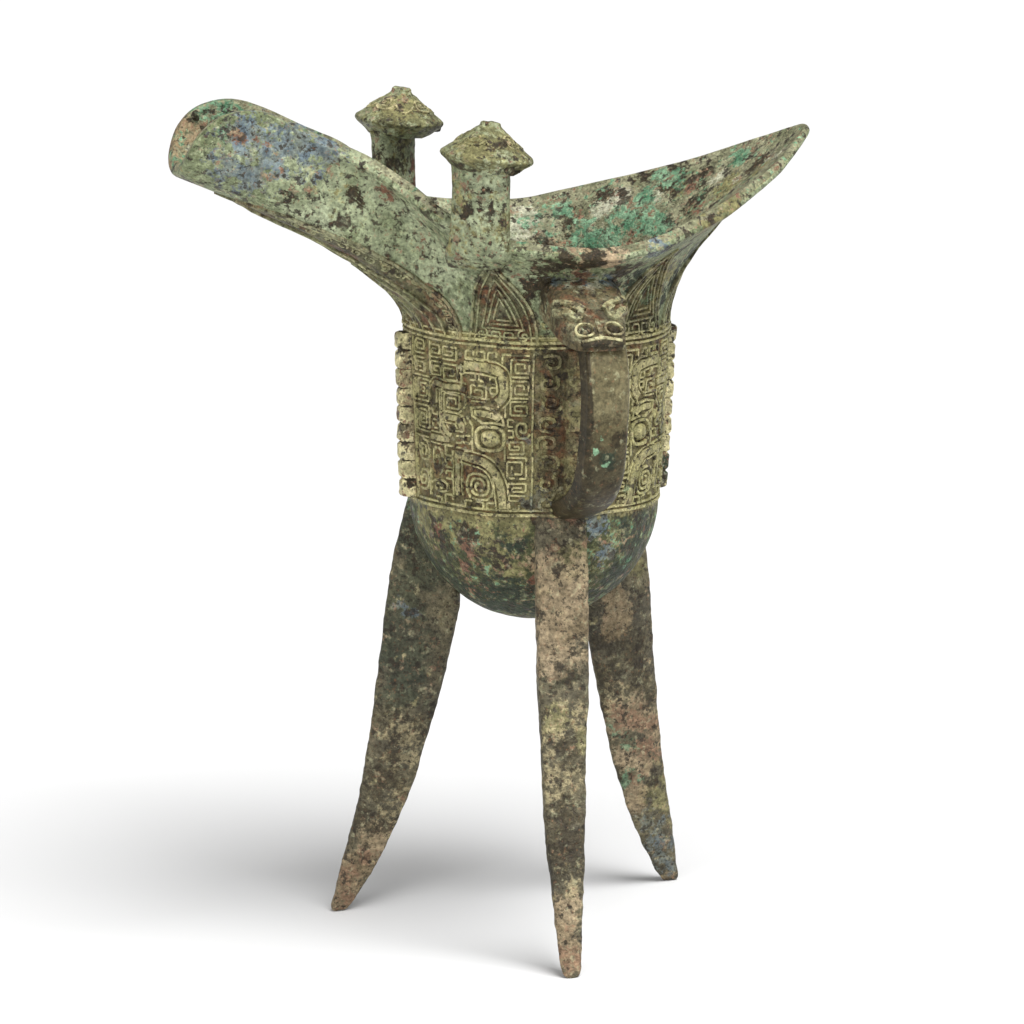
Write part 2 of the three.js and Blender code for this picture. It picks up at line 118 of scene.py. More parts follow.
# Relief: a line's height, its width, how deep it is rooted, how far its foot spreads, and the share
# of its width that is left at its top; then the pitch of a spiral and the radius of the frieze
MASK_ANGLE = 271.5
RELIEF = 0.62
LINE = 0.5
ROOT = 0.35
FOOT_SPREAD = 0.16
LINE_TOP = 0.84
PITCH = 1.05
COIL_END = 0.12
FRIEZE_ARC = 32

# Rows and columns of the shell
COLUMNS = 216
BOWL_ROWS = 24
FRIEZE_ROWS = 18
NECK_ROWS = 44
NECK_FOOT = BOWL_ROWS + FRIEZE_ROWS - 1

# Rim stations from the spout's tip to the tail's tip: place along X as a share of the reach, half
# width as a share of the mouth's, height as a share of the rise from the mouth, angle round the
# body from -X, heading of the wall at the rim, and its rise.
RIM = np.array([
    [-1.0, 0, 0.5, 0, 0, 21],
    [-1.0, 0.15, 0.54, 11, 0, 22],
    [-0.988, 0.255, 0.67, 19, 0, 26],
    [-0.955, 0.3, 0.85, 24, 0, 32],
    [-0.895, 0.305, 0.98, 27, 0, 36],
    [-0.793, 0.31, 1.0, 30, 2, 42],
    [-0.674, 0.327, 0.82, 34, 6, 46],
    [-0.543, 0.386, 0.62, 39, 18, 46],
    [-0.446, 0.511, 0.43, 46, 38, 44],
    [-0.359, 0.705, 0.22, 55, 55, 40],
    [-0.239, 0.852, 0.068, 66, 70, 36],
    [-0.065, 0.966, 0, 82, 86, 34],
    [0.116, 1.0, 0, 96, 95, 34],
    [0.291, 0.959, 0.1, 109, 108, 35],
    [0.466, 0.807, 0.245, 124, 122, 36],
    [0.64, 0.625, 0.43, 140, 138, 38],
    [0.815, 0.398, 0.68, 157, 156, 40],
    [0.961, 0.136, 0.93, 172, 172, 42],
    [1.0, 0, 1.0, 180, 180, 42],
])

# Leg sections: height as a share of the frieze's lower edge, outer and inner edge as shares of the
# foot's outer edge, and the width as a share of the foot's.
LEG = np.array([
    [1.02, 0.585, 0.42, 2.85],
    [0.87, 0.66, 0.375, 3.0],
    [0.72, 0.71, 0.36, 2.92],
    [0.5, 0.77, 0.465, 2.62],
    [0.29, 0.84, 0.595, 2.2],
    [0.11, 0.94, 0.765, 1.6],
    [0, 1.0, 0.91, 1.02],
])

# Head: distance from the body as a share of the handle's, upper and lower height above the frieze,
# width as a share of the head's, and how far its middle is left of the handle's.
HEAD = np.array([
    [-0.073, 17.6, 5, 1.09, 0.6],
    [0.227, 16.4, 3.5, 1.07, 1],
    [0.464, 13.2, 2.4, 1.02, 1.4],
    [0.678, 9.8, 1.8, 0.91, 1.8],
    [0.85, 6.6, 1.6, 0.77, 2],
    [0.957, 3.9, 1.8, 0.67, 1.9],
])


def mix(a, b, share):
    return a + (b - a) * share


def band_share(values, start, end):
    """How far values are on the way from start to end, kept between 0 and 1."""
    return np.clip((values - start) / (end - start), 0, 1)


def spline(table, places):
    """Rows of a smooth curve through a table's rows, at fractional row numbers."""
    places = np.atleast_1d(np.asarray(places, float))
    last = len(table) - 1
    index = np.minimum(np.floor(places).astype(int), last - 1)
    t = (places - index)[:, None]
    a, b, c, d = [table[np.clip(index + step, 0, last)] for step in (-1, 0, 1, 2)]
    return 0.5 * (2 * b + (c - a) * t + (2 * a - 5 * b + 4 * c - d) * t**2 + (3 * (b - c) + d - a) * t**3)


def heading(angles):
    """Directions in plan for angles from -X towards +Y."""
    angles = np.radians(angles)
    return np.stack([-np.cos(angles), np.sin(angles), np.zeros_like(angles)], -1)


def mirrored(rows, turn):
    return rows * [1, -1, 1, -1, -1, 1] + [0, 0, 0, turn, turn, 0]


def rim_table():
    side = RIM.copy()
    spout = side[:, 0] < 0
    top = np.where(spout, SPOUT_TOP, TAIL_TIP)
    side[:, 0] *= np.where(spout, SPOUT_REACH, TAIL_REACH)
    side[:, 1] *= MOUTH_HALF_WIDTH
    side[:, 2] = mix(MOUTH_HEIGHT, top, side[:, 2])
    other = mirrored(side[1:-1][::-1], 360)
    before = mirrored(side[1:2], 0)
    after = side[:2] + [0, 0, 0, 360, 360, 0]
    return np.vstack([before, side, other, after])


RIM_TABLE = rim_table()
RIM_COUNT = len(RIM_TABLE) - 3


def rim_at(places):
    return spline(RIM_TABLE, np.mod(places, RIM_COUNT) + 1)


def body_radius(heights):
    return mix(RADIUS_BOTTOM, RADIUS_TOP, (heights - FRIEZE_BOTTOM) / (FRIEZE_TOP - FRIEZE_BOTTOM))


def body_points(angles, heights, out=0.0):
    points = heading(angles) * (body_radius(np.asarray(heights)) + out)[..., None]
    points[..., 2] = heights
    return points


def neck_points(places, shares):
    """The neck's outer wall from the top of the frieze (share 0) to the rim (share 1)."""
    rim = rim_at(places)
    end = rim[:, :3]
    start = body_points(rim[:, 3], np.full(len(rim), FRIEZE_TOP))
    to_tail = (1 - np.cos(np.radians(rim[:, 3]))) / 2
    pull = start + np.array([0, 0, 1]) * mix(*NECK_START, to_tail)[:, None]
    lift = np.radians(rim[:, 5])
    flare = heading(rim[:, 4]) * np.cos(lift)[:, None]
    flare[:, 2] = np.sin(lift)
    reach = np.linalg.norm(end - start, axis=1) * mix(*NECK_END, to_tail)
    end_pull = end - flare * reach[:, None]
    t = np.broadcast_to(shares, (len(rim),))[:, None]
    return (1 - t)**3 * start + 3 * (1 - t)**2 * t * pull + 3 * (1 - t) * t**2 * end_pull + t**3 * end


PLACE_SAMPLES = np.linspace(0, RIM_COUNT, 721)
ANGLE_SAMPLES = spline(RIM_TABLE, PLACE_SAMPLES + 1)[:, 3]


def places_of(angles):
    """Places on the rim whose wall comes up from given angles of the body."""
    return np.interp(np.mod(angles, 360), ANGLE_SAMPLES, PLACE_SAMPLES)


def placed(angle, radius, side, height):
    """Points in a frame that stands out from the axis at an angle from +X."""
    out = np.array([math.cos(math.radians(angle)), math.sin(math.radians(angle)), 0])
    across = np.array([-out[1], out[0], 0])
    points = np.multiply.outer(radius, out) + np.multiply.outer(side, across)
    points[..., 2] = height
    return points


# What the material reads at each point
MARKS = [
    "relief", "carved", "inside", "leg", "handle", "head", "flange", "post", "neck", "bowl", "azurite",
    "malachite", "earth", "cuprite", "celadon", "umber", "ochre", "chalk", "deep_patina_and_shade", "cream", "worn",
]


class Parts:
    """Vertices and faces gathered from all sub-parts, with marks that the material reads."""

    def __init__(self):
        self.points = []
        self.faces = []
        self.marks = []
        self.count = 0

    def add(self, points, faces, **marks):
        points = np.asarray(points, float).reshape(-1, 3)
        self.points.append(points)
        self.faces.extend([tuple(int(i) + self.count for i in face) for face in faces])
        table = np.zeros((len(points), len(MARKS)))
        for name, value in marks.items():
            table[:, MARKS.index(name)] = value
        self.marks.append(table)
        self.count += len(points)


def ring_faces(rows, columns, tips=True):
    """Faces between rows of points that each go round once, with a single point before and after."""
    start = 1 if tips else 0
    faces = []
    for row in range(rows - 1):
        a = start + row * columns
        b = a + columns
        for i in range(columns):
            j = (i + 1) % columns
            faces.append((a + i, a + j, b + j, b + i))
    if tips:
        last = start + (rows - 1) * columns
        end = last + columns
        faces += [(0, 1 + (i + 1) % columns, 1 + i) for i in range(columns)]
        faces += [(last + i, last + (i + 1) % columns, end) for i in range(columns)]
    return faces


def loft(rings):
    """Points and faces of rings joined into a closed tube, with a point in the middle of each end."""
    rings = np.asarray(rings, float)
    points = np.vstack([rings[0].mean(0)[None], rings.reshape(-1, 3), rings[-1].mean(0)[None]])
    return points, ring_faces(*rings.shape[:2])


def surface_rows():
    """The outer surface as rows of points from near the bowl's bottom to the rim."""
    places = np.arange(COLUMNS) * RIM_COUNT / COLUMNS
    angles = rim_at(places)[:, 3]
    rows = []
    for turn in np.linspace(0, math.pi / 2, BOWL_ROWS + 1)[1:]:
        ring = heading(angles) * RADIUS_BOTTOM * math.sin(turn)
        ring[:, 2] = FRIEZE_BOTTOM - BOWL_DEPTH * math.cos(turn)
        rows.append(ring)
    for height in np.linspace(FRIEZE_BOTTOM, FRIEZE_TOP, FRIEZE_ROWS + 1)[1:]:
        rows.append(body_points(angles, np.full(COLUMNS, height)))
    for share in np.linspace(0, 1, NECK_ROWS + 1)[1:]:
        rows.append(neck_points(places, share))
    return np.array(rows), angles


def inner_rows(rows, angles):
    """The inner surface: the outer rows moved in by the wall, which is thicker at the lip."""
    above = np.concatenate([rows[1:], rows[-1:]])
    below = np.concatenate([rows[:1], rows[:-1]])
    inwards = np.cross(above - below, np.roll(rows, -1, 1) - np.roll(rows, 1, 1))
    inwards /= np.linalg.norm(inwards, axis=2, keepdims=True)
    outwards = (inwards * heading(angles)[None]).sum(2) > 0
    inwards[outwards] *= -1
    share = band_share(np.arange(len(rows)), NECK_FOOT, NECK_FOOT + NECK_ROWS)**2
    to_tip = np.clip(-np.cos(np.radians(angles)), 0, 1)**6
    lip = mix(LIP, TAIL_LIP, to_tip)
    return rows + inwards * mix(WALL, lip[None], share[:, None])[:, :, None]


# A rising blade's edge: half width and height as shares
EDGE = np.array([[1, 0], [0.89, 0.2], [0.69, 0.4], [0.43, 0.6], [0.17, 0.8], [0.01, 1]])
SPOUT_EDGE = np.array([
    [1, 0], [1, 0.1], [0.92, 0.28], [0.75, 0.37], [0.65, 0.47], [0.59, 0.57], [0.48, 0.7], [0.38, 0.82],
    [0.24, 0.92], [0.01, 1],
])

# The blades round the neck. Half widths are in degrees, heights are shares of the neck's, and the
# small blades lean by some degrees on their way up.
SPOUT_HALF = 40
SPOUT_APEX = 0.88
TAIL_HALF = 36
TAIL_APEX = 0.93
SMALL_HALF = 15.1
SMALL_APEX = 0.78
SMALL_LEAN = 6.8
SMALL_BLADES = (59.5, 124.5, 235.5, 300.5)


def small_lean(centre):
    return SMALL_LEAN * math.sin(math.radians(2 * centre))


BLADES = [(0, SPOUT_HALF, SPOUT_APEX, 0, SPOUT_EDGE), (180, TAIL_HALF, TAIL_APEX, 0, EDGE)]
BLADES += [(centre, SMALL_HALF, SMALL_APEX, small_lean(centre), EDGE) for centre in SMALL_BLADES]


def blade_ground(angles, share):
    """Which angles lie within a blade at a share of the way from the frieze to the rim."""
    ground = np.zeros(len(angles))
    for centre, half, apex, lean, table in BLADES:
        away = np.abs(np.mod(angles - centre - lean * share + 180, 360) - 180)
        edge = half * np.interp(share / apex, table[:, 1], table[:, 0], right=0)
        ground = np.maximum(ground, away < edge)
    return ground


def lip_rows(outer, edge_in):
    """The rim's rounded edge, over from the outer surface's last row to the inner one's."""
    edge_out = outer[-1]
    along = edge_out - outer[-2]
    along /= np.linalg.norm(along, axis=1, keepdims=True)
    rows = []
    for turn in np.linspace(0, math.pi, 9)[1:-1]:
        across = signed_power(math.cos(turn), 0.7)
        up = math.sin(turn)**0.7
        rows.append(mix(edge_out, edge_in, (1 - across) / 2) + along * up * LIP * 0.3)
    return np.array(rows)


def shell():
    """The bowl, body, neck, spout and tail with their walls, and the room inside the cup."""
    rows, angles = surface_rows()
    inner = inner_rows(rows, angles)
    lip = lip_rows(rows, inner[-1])
    inner = inner[::-1][::2]
    grid = np.concatenate([rows, lip, inner])
    bottom = np.array([[0, 0, FRIEZE_BOTTOM - BOWL_DEPTH]])
    inner_bottom = bottom + [0, 0, WALL]
    points = np.vstack([bottom, grid.reshape(-1, 3), inner_bottom])
    faces = ring_faces(len(grid), COLUMNS)
    inside = np.repeat(np.arange(len(grid)) >= len(rows) + len(lip) // 2, COLUMNS)
    inside = np.concatenate([[0], inside, [1]])
    carved = np.zeros((len(grid), COLUMNS))
    carved[BOWL_ROWS - 1:NECK_FOOT + 1] = 1
    for step in range(1, NECK_ROWS + 1):
        carved[NECK_FOOT + step] = blade_ground(angles, step / NECK_ROWS)
    carved = np.concatenate([[0], carved.ravel(), [0]])
    cup = np.vstack([inner_bottom, inner[::-1].reshape(-1, 3), [[0, 0, SPOUT_TOP]]])
    return (points, faces, inside, carved), (cup, ring_faces(len(inner), COLUMNS))


def rounded(section, times=2):
    """Corners of a closed section cut, each time at a quarter of its sides."""
    section = np.asarray(section, float)
    for _ in range(times):
        after = np.roll(section, -1, 0)
        section = np.stack([mix(section, after, 0.25), mix(section, after, 0.75)], 1).reshape(-1, 2)
    return section


def signed_power(values, power):
    return np.sign(values) * np.abs(values)**power


def squared_ring(half_x, half_y, turns, power):
    """Points round an oval, fuller at its corners where the power is below 1."""
    across = half_x * signed_power(np.cos(turns), power)
    return np.stack([across, half_y * signed_power(np.sin(turns), power)], 1)


def superellipse(half_length, half_width, count, power):
    turns = np.linspace(0, 2 * math.pi, count, endpoint=False)
    return squared_ring(half_length, half_width, turns, power)


def leg(index):
    foot_edge = FOOT_RADII[index] + FOOT_DEPTH / 2
    top_edge = (FOOT_RADII[1] + FOOT_RADII[2]) / 2 + FOOT_DEPTH / 2
    rings = []
    for share, outer, inner, width in spline(LEG, np.linspace(0, len(LEG) - 1, LEG_ROWS)):
        share = max(share, 0)
        edge = mix(foot_edge, top_edge, min(1, share))
        outer = outer * edge
        inner = min(inner * edge, outer - FOOT_DEPTH)
        half = width * FOOT_WIDTH / 2
        chamfer = min(LEG_CHAMFER, half * 0.4)
        middle = (outer + inner) / 2
        section = rounded([
            (outer, half - chamfer), (outer - chamfer, half), (middle, half * 0.8),
            (inner + chamfer, half * 0.32), (inner, 0), (inner + chamfer, -half * 0.32),
            (middle, -half * 0.8), (outer - chamfer, -half), (outer, chamfer - half),
            (outer + 0.12, 0),
        ], 2)
        toe = 1 - min(1, share * FRIEZE_BOTTOM / TOE)
        section = mix(np.array([middle, 0]), section, mix(TOE_WIDTH, 1, math.sqrt(1 - toe**2)))
        ring = placed(LEG_ANGLES[index], section[:, 0], section[:, 1], share * FRIEZE_BOTTOM)
        ring[:, 2] += (1 - min(1, share)) * math.tan(math.radians(BODY_LEAN)) * ring[:, 0]
        rings.append(ring)
    return loft(rings)


def flange(angle):
    rings = []
    steps = FLANGE_LOBES * LOBE_STEPS
    for i in range(steps + 1):
        height = mix(FRIEZE_BOTTOM, FLANGE_TOP, i / steps)
        lobe = abs(math.cos(math.pi * i / LOBE_STEPS))**24
        outer = float(body_radius(height)) + FLANGE_DEPTH - FLANGE_NOTCH * lobe
        half = FLANGE_THICKNESS / 2 - 0.15 * lobe
        end = 0.55 if i in (0, steps) else 0
        section = rounded([
            (RADIUS_BOTTOM - WALL * 0.8, half), (outer - 0.5 - end, half), (outer - end, half * 0.75),
            (outer - end, -half * 0.75), (outer - 0.5 - end, -half), (RADIUS_BOTTOM - WALL * 0.8, -half),
        ], 1)
        rings.append(placed(angle, section[:, 0], section[:, 1], height))
    return loft(rings)


def post(side, place_x):
    turn = math.radians(POST_TURN * side)
    foot = CAP_RISE - CAP_UNDER
    stations = np.array([
        [-3.5, 0.9, 0.3, 5.6],
        [-1.5, 1.06, 0.5, 2.9],
        [0.6, 1.14, 0.85, 1.1],
        [4, 1.06, 1, 0.15],
        [foot - 9, 0.98, 0.98, 0],
        [foot - 4, 0.96, 0.98, 0],
        [foot + 1.5, 1.0, 1.06, 0],
    ])
    rings = []
    for height, length, width, inset in spline(stations, np.linspace(0, len(stations) - 1, 40)):
        ring = superellipse(POST_LENGTH / 2 * length, POST_THICKNESS / 2 * width, 40, 0.72)
        x = place_x + ring[:, 0] * math.cos(turn) - ring[:, 1] * math.sin(turn)
        y = side * (POST_Y - inset) + ring[:, 0] * math.sin(turn) + ring[:, 1] * math.cos(turn)
        rings.append(np.stack([x, y, np.full(len(ring), MOUTH_HEIGHT + height)], 1))
    return loft(rings)


def cap_frame(side, place_x):
    centre = Vector((place_x + CAP_SHIFT, side * POST_Y, MOUTH_HEIGHT + CAP_RISE))
    return Matrix.Translation(centre) @ Matrix.Rotation(math.radians(CAP_TILT), 4, "Y")


def moved(points, matrix):
    points = np.asarray(points, float)
    matrix = np.array(matrix)
    return points @ matrix[:3, :3].T + matrix[:3, 3]


CAP_PROFILE = np.array([
    [POST_LENGTH * 0.3, -CAP_UNDER],
    [POST_LENGTH * 0.47, -CAP_UNDER + 0.1],
    [CAP_RADIUS * 0.86, -1.7],
    [CAP_RADIUS * 0.985, -0.55],
    [CAP_RADIUS, 0.1],
    [CAP_RADIUS * 0.96, 0.75],
    [CAP_RADIUS * 0.75, 2.5],
    [CAP_RADIUS * 0.5, CAP_CONE * 0.66],
    [CAP_RADIUS * 0.3, CAP_CONE * 0.9],
    [CAP_BUTTON * 1.12, CAP_CONE],
    [CAP_BUTTON * 1.04, CAP_CONE + CAP_BUTTON_HEIGHT * 0.7],
    [CAP_BUTTON * 0.8, CAP_CONE + CAP_BUTTON_HEIGHT],
])


def cap(side, place_x):
    rings = []
    for radius, height in spline(CAP_PROFILE, np.linspace(0, len(CAP_PROFILE) - 1, 44)):
        ring = superellipse(radius, radius, CAP_SIDES, 1)
        rings.append(np.column_stack([ring, np.full(CAP_SIDES, height)]))
    points, faces = loft(rings)
    return moved(points, cap_frame(side, place_x)), faces


def handle():
    middle = HANDLE_RADIUS - HANDLE_THICKNESS / 2
    top = FRIEZE_TOP + 8
    line = np.array([
        [RADIUS_TOP - 2, top + 1.5],
        [mix(RADIUS_TOP, middle, 0.5), top],
        [middle - 2.6, top - 6.5],
        [middle, mix(FRIEZE_BOTTOM, top, 0.62)],
        [middle - 2.4, mix(FRIEZE_BOTTOM, top, 0.3)],
        [middle - 9.5, FRIEZE_BOTTOM + 6.5],
        [RADIUS_BOTTOM - 1, FRIEZE_BOTTOM + 1],
    ])
    places = np.linspace(0, len(line) - 1, 72)
    points = spline(line, places)
    along = np.gradient(points, axis=0)
    along /= np.linalg.norm(along, axis=1, keepdims=True)
    section = rounded([
        (0.5, 0), (0.45, 0.3), (0.3, 0.48), (0.05, 0.47), (-0.5, 0.5),
        (-0.42, 0), (-0.5, -0.5), (0.05, -0.47), (0.3, -0.48), (0.45, -0.3),
    ], 2)
    rings = []
    for point, way in zip(points, along):
        out = np.array([-way[1], way[0]])
        width = mix(HANDLE_OUTER_WIDTH, HANDLE_INNER_WIDTH, np.clip(0.4 - section[:, 0], 0, 1))
        radius = point[0] + out[0] * section[:, 0] * HANDLE_THICKNESS
        height = point[1] + out[1] * section[:, 0] * HANDLE_THICKNESS
        rings.append(placed(HANDLE_ANGLE, radius, section[:, 1] * width, height))
    return loft(rings)


def head_table():
    table = HEAD.copy()
    table[:, 0] = mix(RADIUS_TOP, HANDLE_RADIUS, table[:, 0])
    return table


HEAD_TABLE = head_table()


def head():
    rings = []
    stations = spline(HEAD_TABLE, np.linspace(0, len(HEAD_TABLE) - 1, 48))
    for radius, upper, lower, width, shift in stations:
        half = (upper - lower) / 2
        ring = superellipse(HEAD_WIDTH / 2 * width, half, 64, HEAD_POWER)
        middle = FRIEZE_TOP + lower + half
        rings.append(placed(HANDLE_ANGLE, np.full(64, radius), ring[:, 0] - shift, middle + ring[:, 1]))
    return loft(rings)


def new_mesh_object(name, points, faces):
    mesh = bpy.data.meshes.new(name)
    mesh.from_pydata([tuple(point) for point in points], [], faces)
    mesh.validate()
    piece = bpy.data.objects.new(name, mesh)
    bpy.context.scene.collection.objects.link(piece)
    return piece


def only(piece):
    bpy.ops.object.select_all(action="DESELECT")
    piece.select_set(True)
    bpy.context.view_layer.objects.active = piece


def turned_outwards(piece):
    only(piece)
    bpy.ops.object.mode_set(mode="EDIT")
    bpy.ops.mesh.select_all(action="SELECT")
    bpy.ops.mesh.normals_make_consistent(inside=False)
    bpy.ops.object.mode_set(mode="OBJECT")


def trimmed(points, faces, cutter):
    """An outside sub-part without what would stand inside the cup."""
    piece = new_mesh_object("part_to_trim", points, faces)
    turned_outwards(piece)
    cut = piece.modifiers.new("cup", "BOOLEAN")
    cut.operation = "DIFFERENCE"
    cut.solver = "MANIFOLD"
    cut.object = cutter
    only(piece)
    bpy.ops.object.modifier_apply(modifier=cut.name)
    mesh = piece.data
    result = np.array([vertex.co for vertex in mesh.vertices])
    polygons = [tuple(polygon.vertices) for polygon in mesh.polygons]
    bpy.data.objects.remove(piece)
    bpy.data.meshes.remove(mesh)
    return result, polygons


def cast_wobble(points, crust):
    """Small unevenness of a hand-made casting: soft swells, and finer ones where crust lies thick."""
    result = points.copy()
    for i, point in enumerate(points):
        place = Vector(point)
        soft = noise.noise_vector(place / 14)
        fine = noise.noise_vector(place / 3 + Vector((7, 3, 1)))
        grain = noise.noise_vector(place / 1.3 + Vector((2, 9, 4)))
        result[i] += np.array(soft) * 0.32 + (np.array(fine) * 0.26 + np.array(grain) * 0.14) * crust[i]
    return result


def build_vessel():
    parts = Parts()
    (points, faces, inside, carved), (cup, cup_faces) = shell()
    parts.add(points, faces, inside=inside, carved=carved)
    cutter = new_mesh_object("cup_room", cup, cup_faces)
    turned_outwards(cutter)
    for index in range(len(LEG_ANGLES)):
        parts.add(*trimmed(*leg(index), cutter), leg=1)
    for angle in FLANGE_ANGLES:
        points, faces = trimmed(*flange(angle), cutter)
        lobe = (points[:, 2] - FRIEZE_BOTTOM) / (FLANGE_TOP - FRIEZE_BOTTOM) * FLANGE_LOBES
        parts.add(points, faces, flange=1, umber=np.abs(np.cos(math.pi * lobe))**90 * 0.8)
    points, faces = trimmed(*handle(), cutter)
    turn = math.radians(HANDLE_ANGLE)
    left = points[:, 0] * math.sin(turn) - points[:, 1] * math.cos(turn)
    # Painted shade on the strap's left flank and lower end, a painted highlight on its upper front face
    dark = np.maximum(band_share(points[:, 2], 132, 114) * 0.8, band_share(left, 3, 4.6))
    light = band_share(points[:, 2], 128, 150) * band_share(left, 5, 3.8)
    parts.add(points, faces, handle=1, umber=dark, worn=light)
    points, faces = trimmed(*head(), cutter)
    reach = np.hypot(points[:, 0], points[:, 1])
    # The snout's end is darkened: painted shade under the overhanging lip
    snout = band_share(reach, 53.8, 55.2)
    parts.add(points, faces, head=1, carved=band_share(reach, 40, 41.5), umber=snout)
    bpy.data.objects.remove(cutter)
    for side, place_x in POSTS:
        parts.add(*post(side, place_x), post=1)
        parts.add(*cap(side, place_x), post=1)
    relief(parts)
    return parts


def to_frame(points):
    """From the body's own axes in mm to the frame's place in metres."""
    lean = np.array(Matrix.Rotation(math.radians(BODY_LEAN), 3, "Y"))
    return points @ lean.T * MM


def finished(parts):
    plain = np.vstack(parts.points)
    marks = zones(plain, np.vstack(parts.marks))
    crust = marks[:, [MARKS.index(name) for name in ("leg", "post", "flange")]].max(1)
    points = to_frame(cast_wobble(plain, mix(0.22, 1, crust)))
    piece = new_mesh_object("jue_patinated", points, parts.faces)
    low, high = points.min(0), points.max(0)
    node_low, node_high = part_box("jue_vessel")
    shift = Vector(node_low) + Vector(node_high) - Vector(low + high)
    shift = Vector((shift.x / 2, shift.y / 2, node_low[2] - low[2]))
    piece.data.transform(Matrix.Translation(shift))
    turned_outwards(piece)
    for column, name in enumerate(MARKS):
        attribute = piece.data.attributes.new(name, "FLOAT", "POINT")
        attribute.data.foreach_set("value", marks[:, column].astype(np.float32))
    only(piece)
    bpy.ops.object.shade_smooth_by_angle(angle=math.radians(35))
    return piece, shift


def unit(vectors):
    return vectors / np.maximum(np.linalg.norm(vectors, axis=-1, keepdims=True), 1e-9)


def square_to(surface, u, v, outwards, step=0.05):
    """Directions square to a surface at places (u, v), on the side of a rough outward direction."""
    over_u = surface(u + step, v) - surface(u - step, v)
    over_v = surface(u, v + step) - surface(u, v - step)
    normal = unit(np.cross(over_u, over_v))
    return normal * np.where((normal * outwards).sum(1) < 0, -1, 1)[:, None]


def body_surface(centre, side):
    """The frieze round a centre in degrees from +X: across and up in mm to points and normals."""
    def at(uv):
        angles = np.mod(180 - centre - side * np.degrees(uv[:, 0] / FRIEZE_ARC), 360)
        return body_points(angles, FRIEZE_BOTTOM + uv[:, 1]), heading(angles)
    return at


def neck_surface(centre, height=None, lean=0.0):
    """The neck over an angle from -X. Across is in mm at the foot, or degrees where no height is
    given; up is in mm, or a share of the way to the rim. It leans by so many degrees for each mm."""
    def point(u, v):
        degrees = u if height is None else np.degrees(u / RADIUS_TOP) + lean * v
        share = v if height is None else v / height
        return neck_points(places_of(centre + degrees), share)

    def at(uv):
        u, v = uv[:, 0], uv[:, 1]
        rough = heading(centre + u) + [0, 0, -0.5]
        return point(u, v), square_to(point, u, v, rough, 0.02 if height is None else 0.1)
    return at


def head_surface():
    """The head's upper face: side in mm from its middle, and row from the neck (0) to the snout (5)."""
    def point(u, v):
        rows = spline(HEAD_TABLE, v)
        radius, upper, lower, width, shift = rows.T
        half = (upper - lower) / 2
        share = np.clip(np.abs(u) / (HEAD_WIDTH / 2 * width), 0, 0.999)
        up = half * (1 - share**(2 / HEAD_POWER))**(HEAD_POWER / 2)
        return placed(HANDLE_ANGLE, radius, u - shift, FRIEZE_TOP + lower + half + up)

    def at(uv):
        return point(uv[:, 0], uv[:, 1]), square_to(point, uv[:, 0], uv[:, 1], np.array([0, -0.3, 1]))
    return at


def cap_surface(side, place_x):
    """A cap's cone: angle in degrees and distance from its axis in mm."""
    matrix = cap_frame(side, place_x)
    cone = CAP_PROFILE[5:10][::-1]

    def at(uv):
        turn = np.radians(uv[:, 0])
        height = np.interp(uv[:, 1], cone[:, 0], cone[:, 1])
        points = np.stack([np.cos(turn) * uv[:, 1], np.sin(turn) * uv[:, 1], height], 1)
        normal = unit(np.stack([np.cos(turn) * 0.6, np.sin(turn) * 0.6, np.ones_like(turn)], 1))
        return moved(points, matrix), moved(normal, matrix.to_3x3().to_4x4())
    return at


def curve(places, steps):
    places = np.asarray(places, float)
    return spline(places, np.linspace(0, len(places) - 1, steps + 1))


def cut_corners(path, cut=0.28):
    """A path whose corners are cut off by a short side."""
    path = np.asarray(path, float)
    result = [path[0]]
    for before, corner, after in zip(path, path[1:], path[2:]):
        for other in (before, after):
            way = other - corner
            length = np.linalg.norm(way)
            result.append(corner + way * min(0.4, cut / max(length, 0.01)))
    result.append(path[-1])
    return np.array(result)


def divided(path, longest=3.5):
    """A path with more points on its long sides, so that it bends with the wall."""
    result = [path[0]]
    for a, b in zip(path, path[1:]):
        count = max(1, math.ceil(np.linalg.norm(b - a) / longest))
        result.extend(mix(a, b, i / count) for i in range(1, count + 1))
    return np.array(result)


def fret(x0, x1, z0, z1, start=0):
    """A square spiral of thunder pattern that winds into its cell from one of the four corners."""
    x0, x1, z0, z1 = x0 + LINE / 2, x1 - LINE / 2, z0 + LINE / 2, z1 - LINE / 2
    corners = [(x0, z0), (x1, z0), (x1, z1), (x0, z1)]
    path = [corners[0]]
    left, right, low, high = x0, x1, z0, z1
    while right - left > PITCH * 0.7 and high - low > PITCH * 0.7:
        path += [(right, low), (right, high), (left, high)]
        low += PITCH
        if high - low < PITCH * 0.7:
            break
        path += [(left, low)]
        left += PITCH
        right -= PITCH
        high -= PITCH
    path = np.array(path, float)
    if start % 2:
        path[:, 0] = x0 + x1 - path[:, 0]
    if start >= 2:
        path[:, 1] = z0 + z1 - path[:, 1]
    return divided(cut_corners(path))


def coil(x, z, half_x, half_z, turns, start=0, steps=12, way=1):
    """A rounded spiral from its outside in."""
    t = np.linspace(0, 1, int(turns * steps) + 1)
    turn = np.radians(start) + way * t * turns * 2 * math.pi
    size = mix(1, COIL_END, t)
    return squared_ring(half_x * size, half_z * size, turn, 0.75) + [x, z]


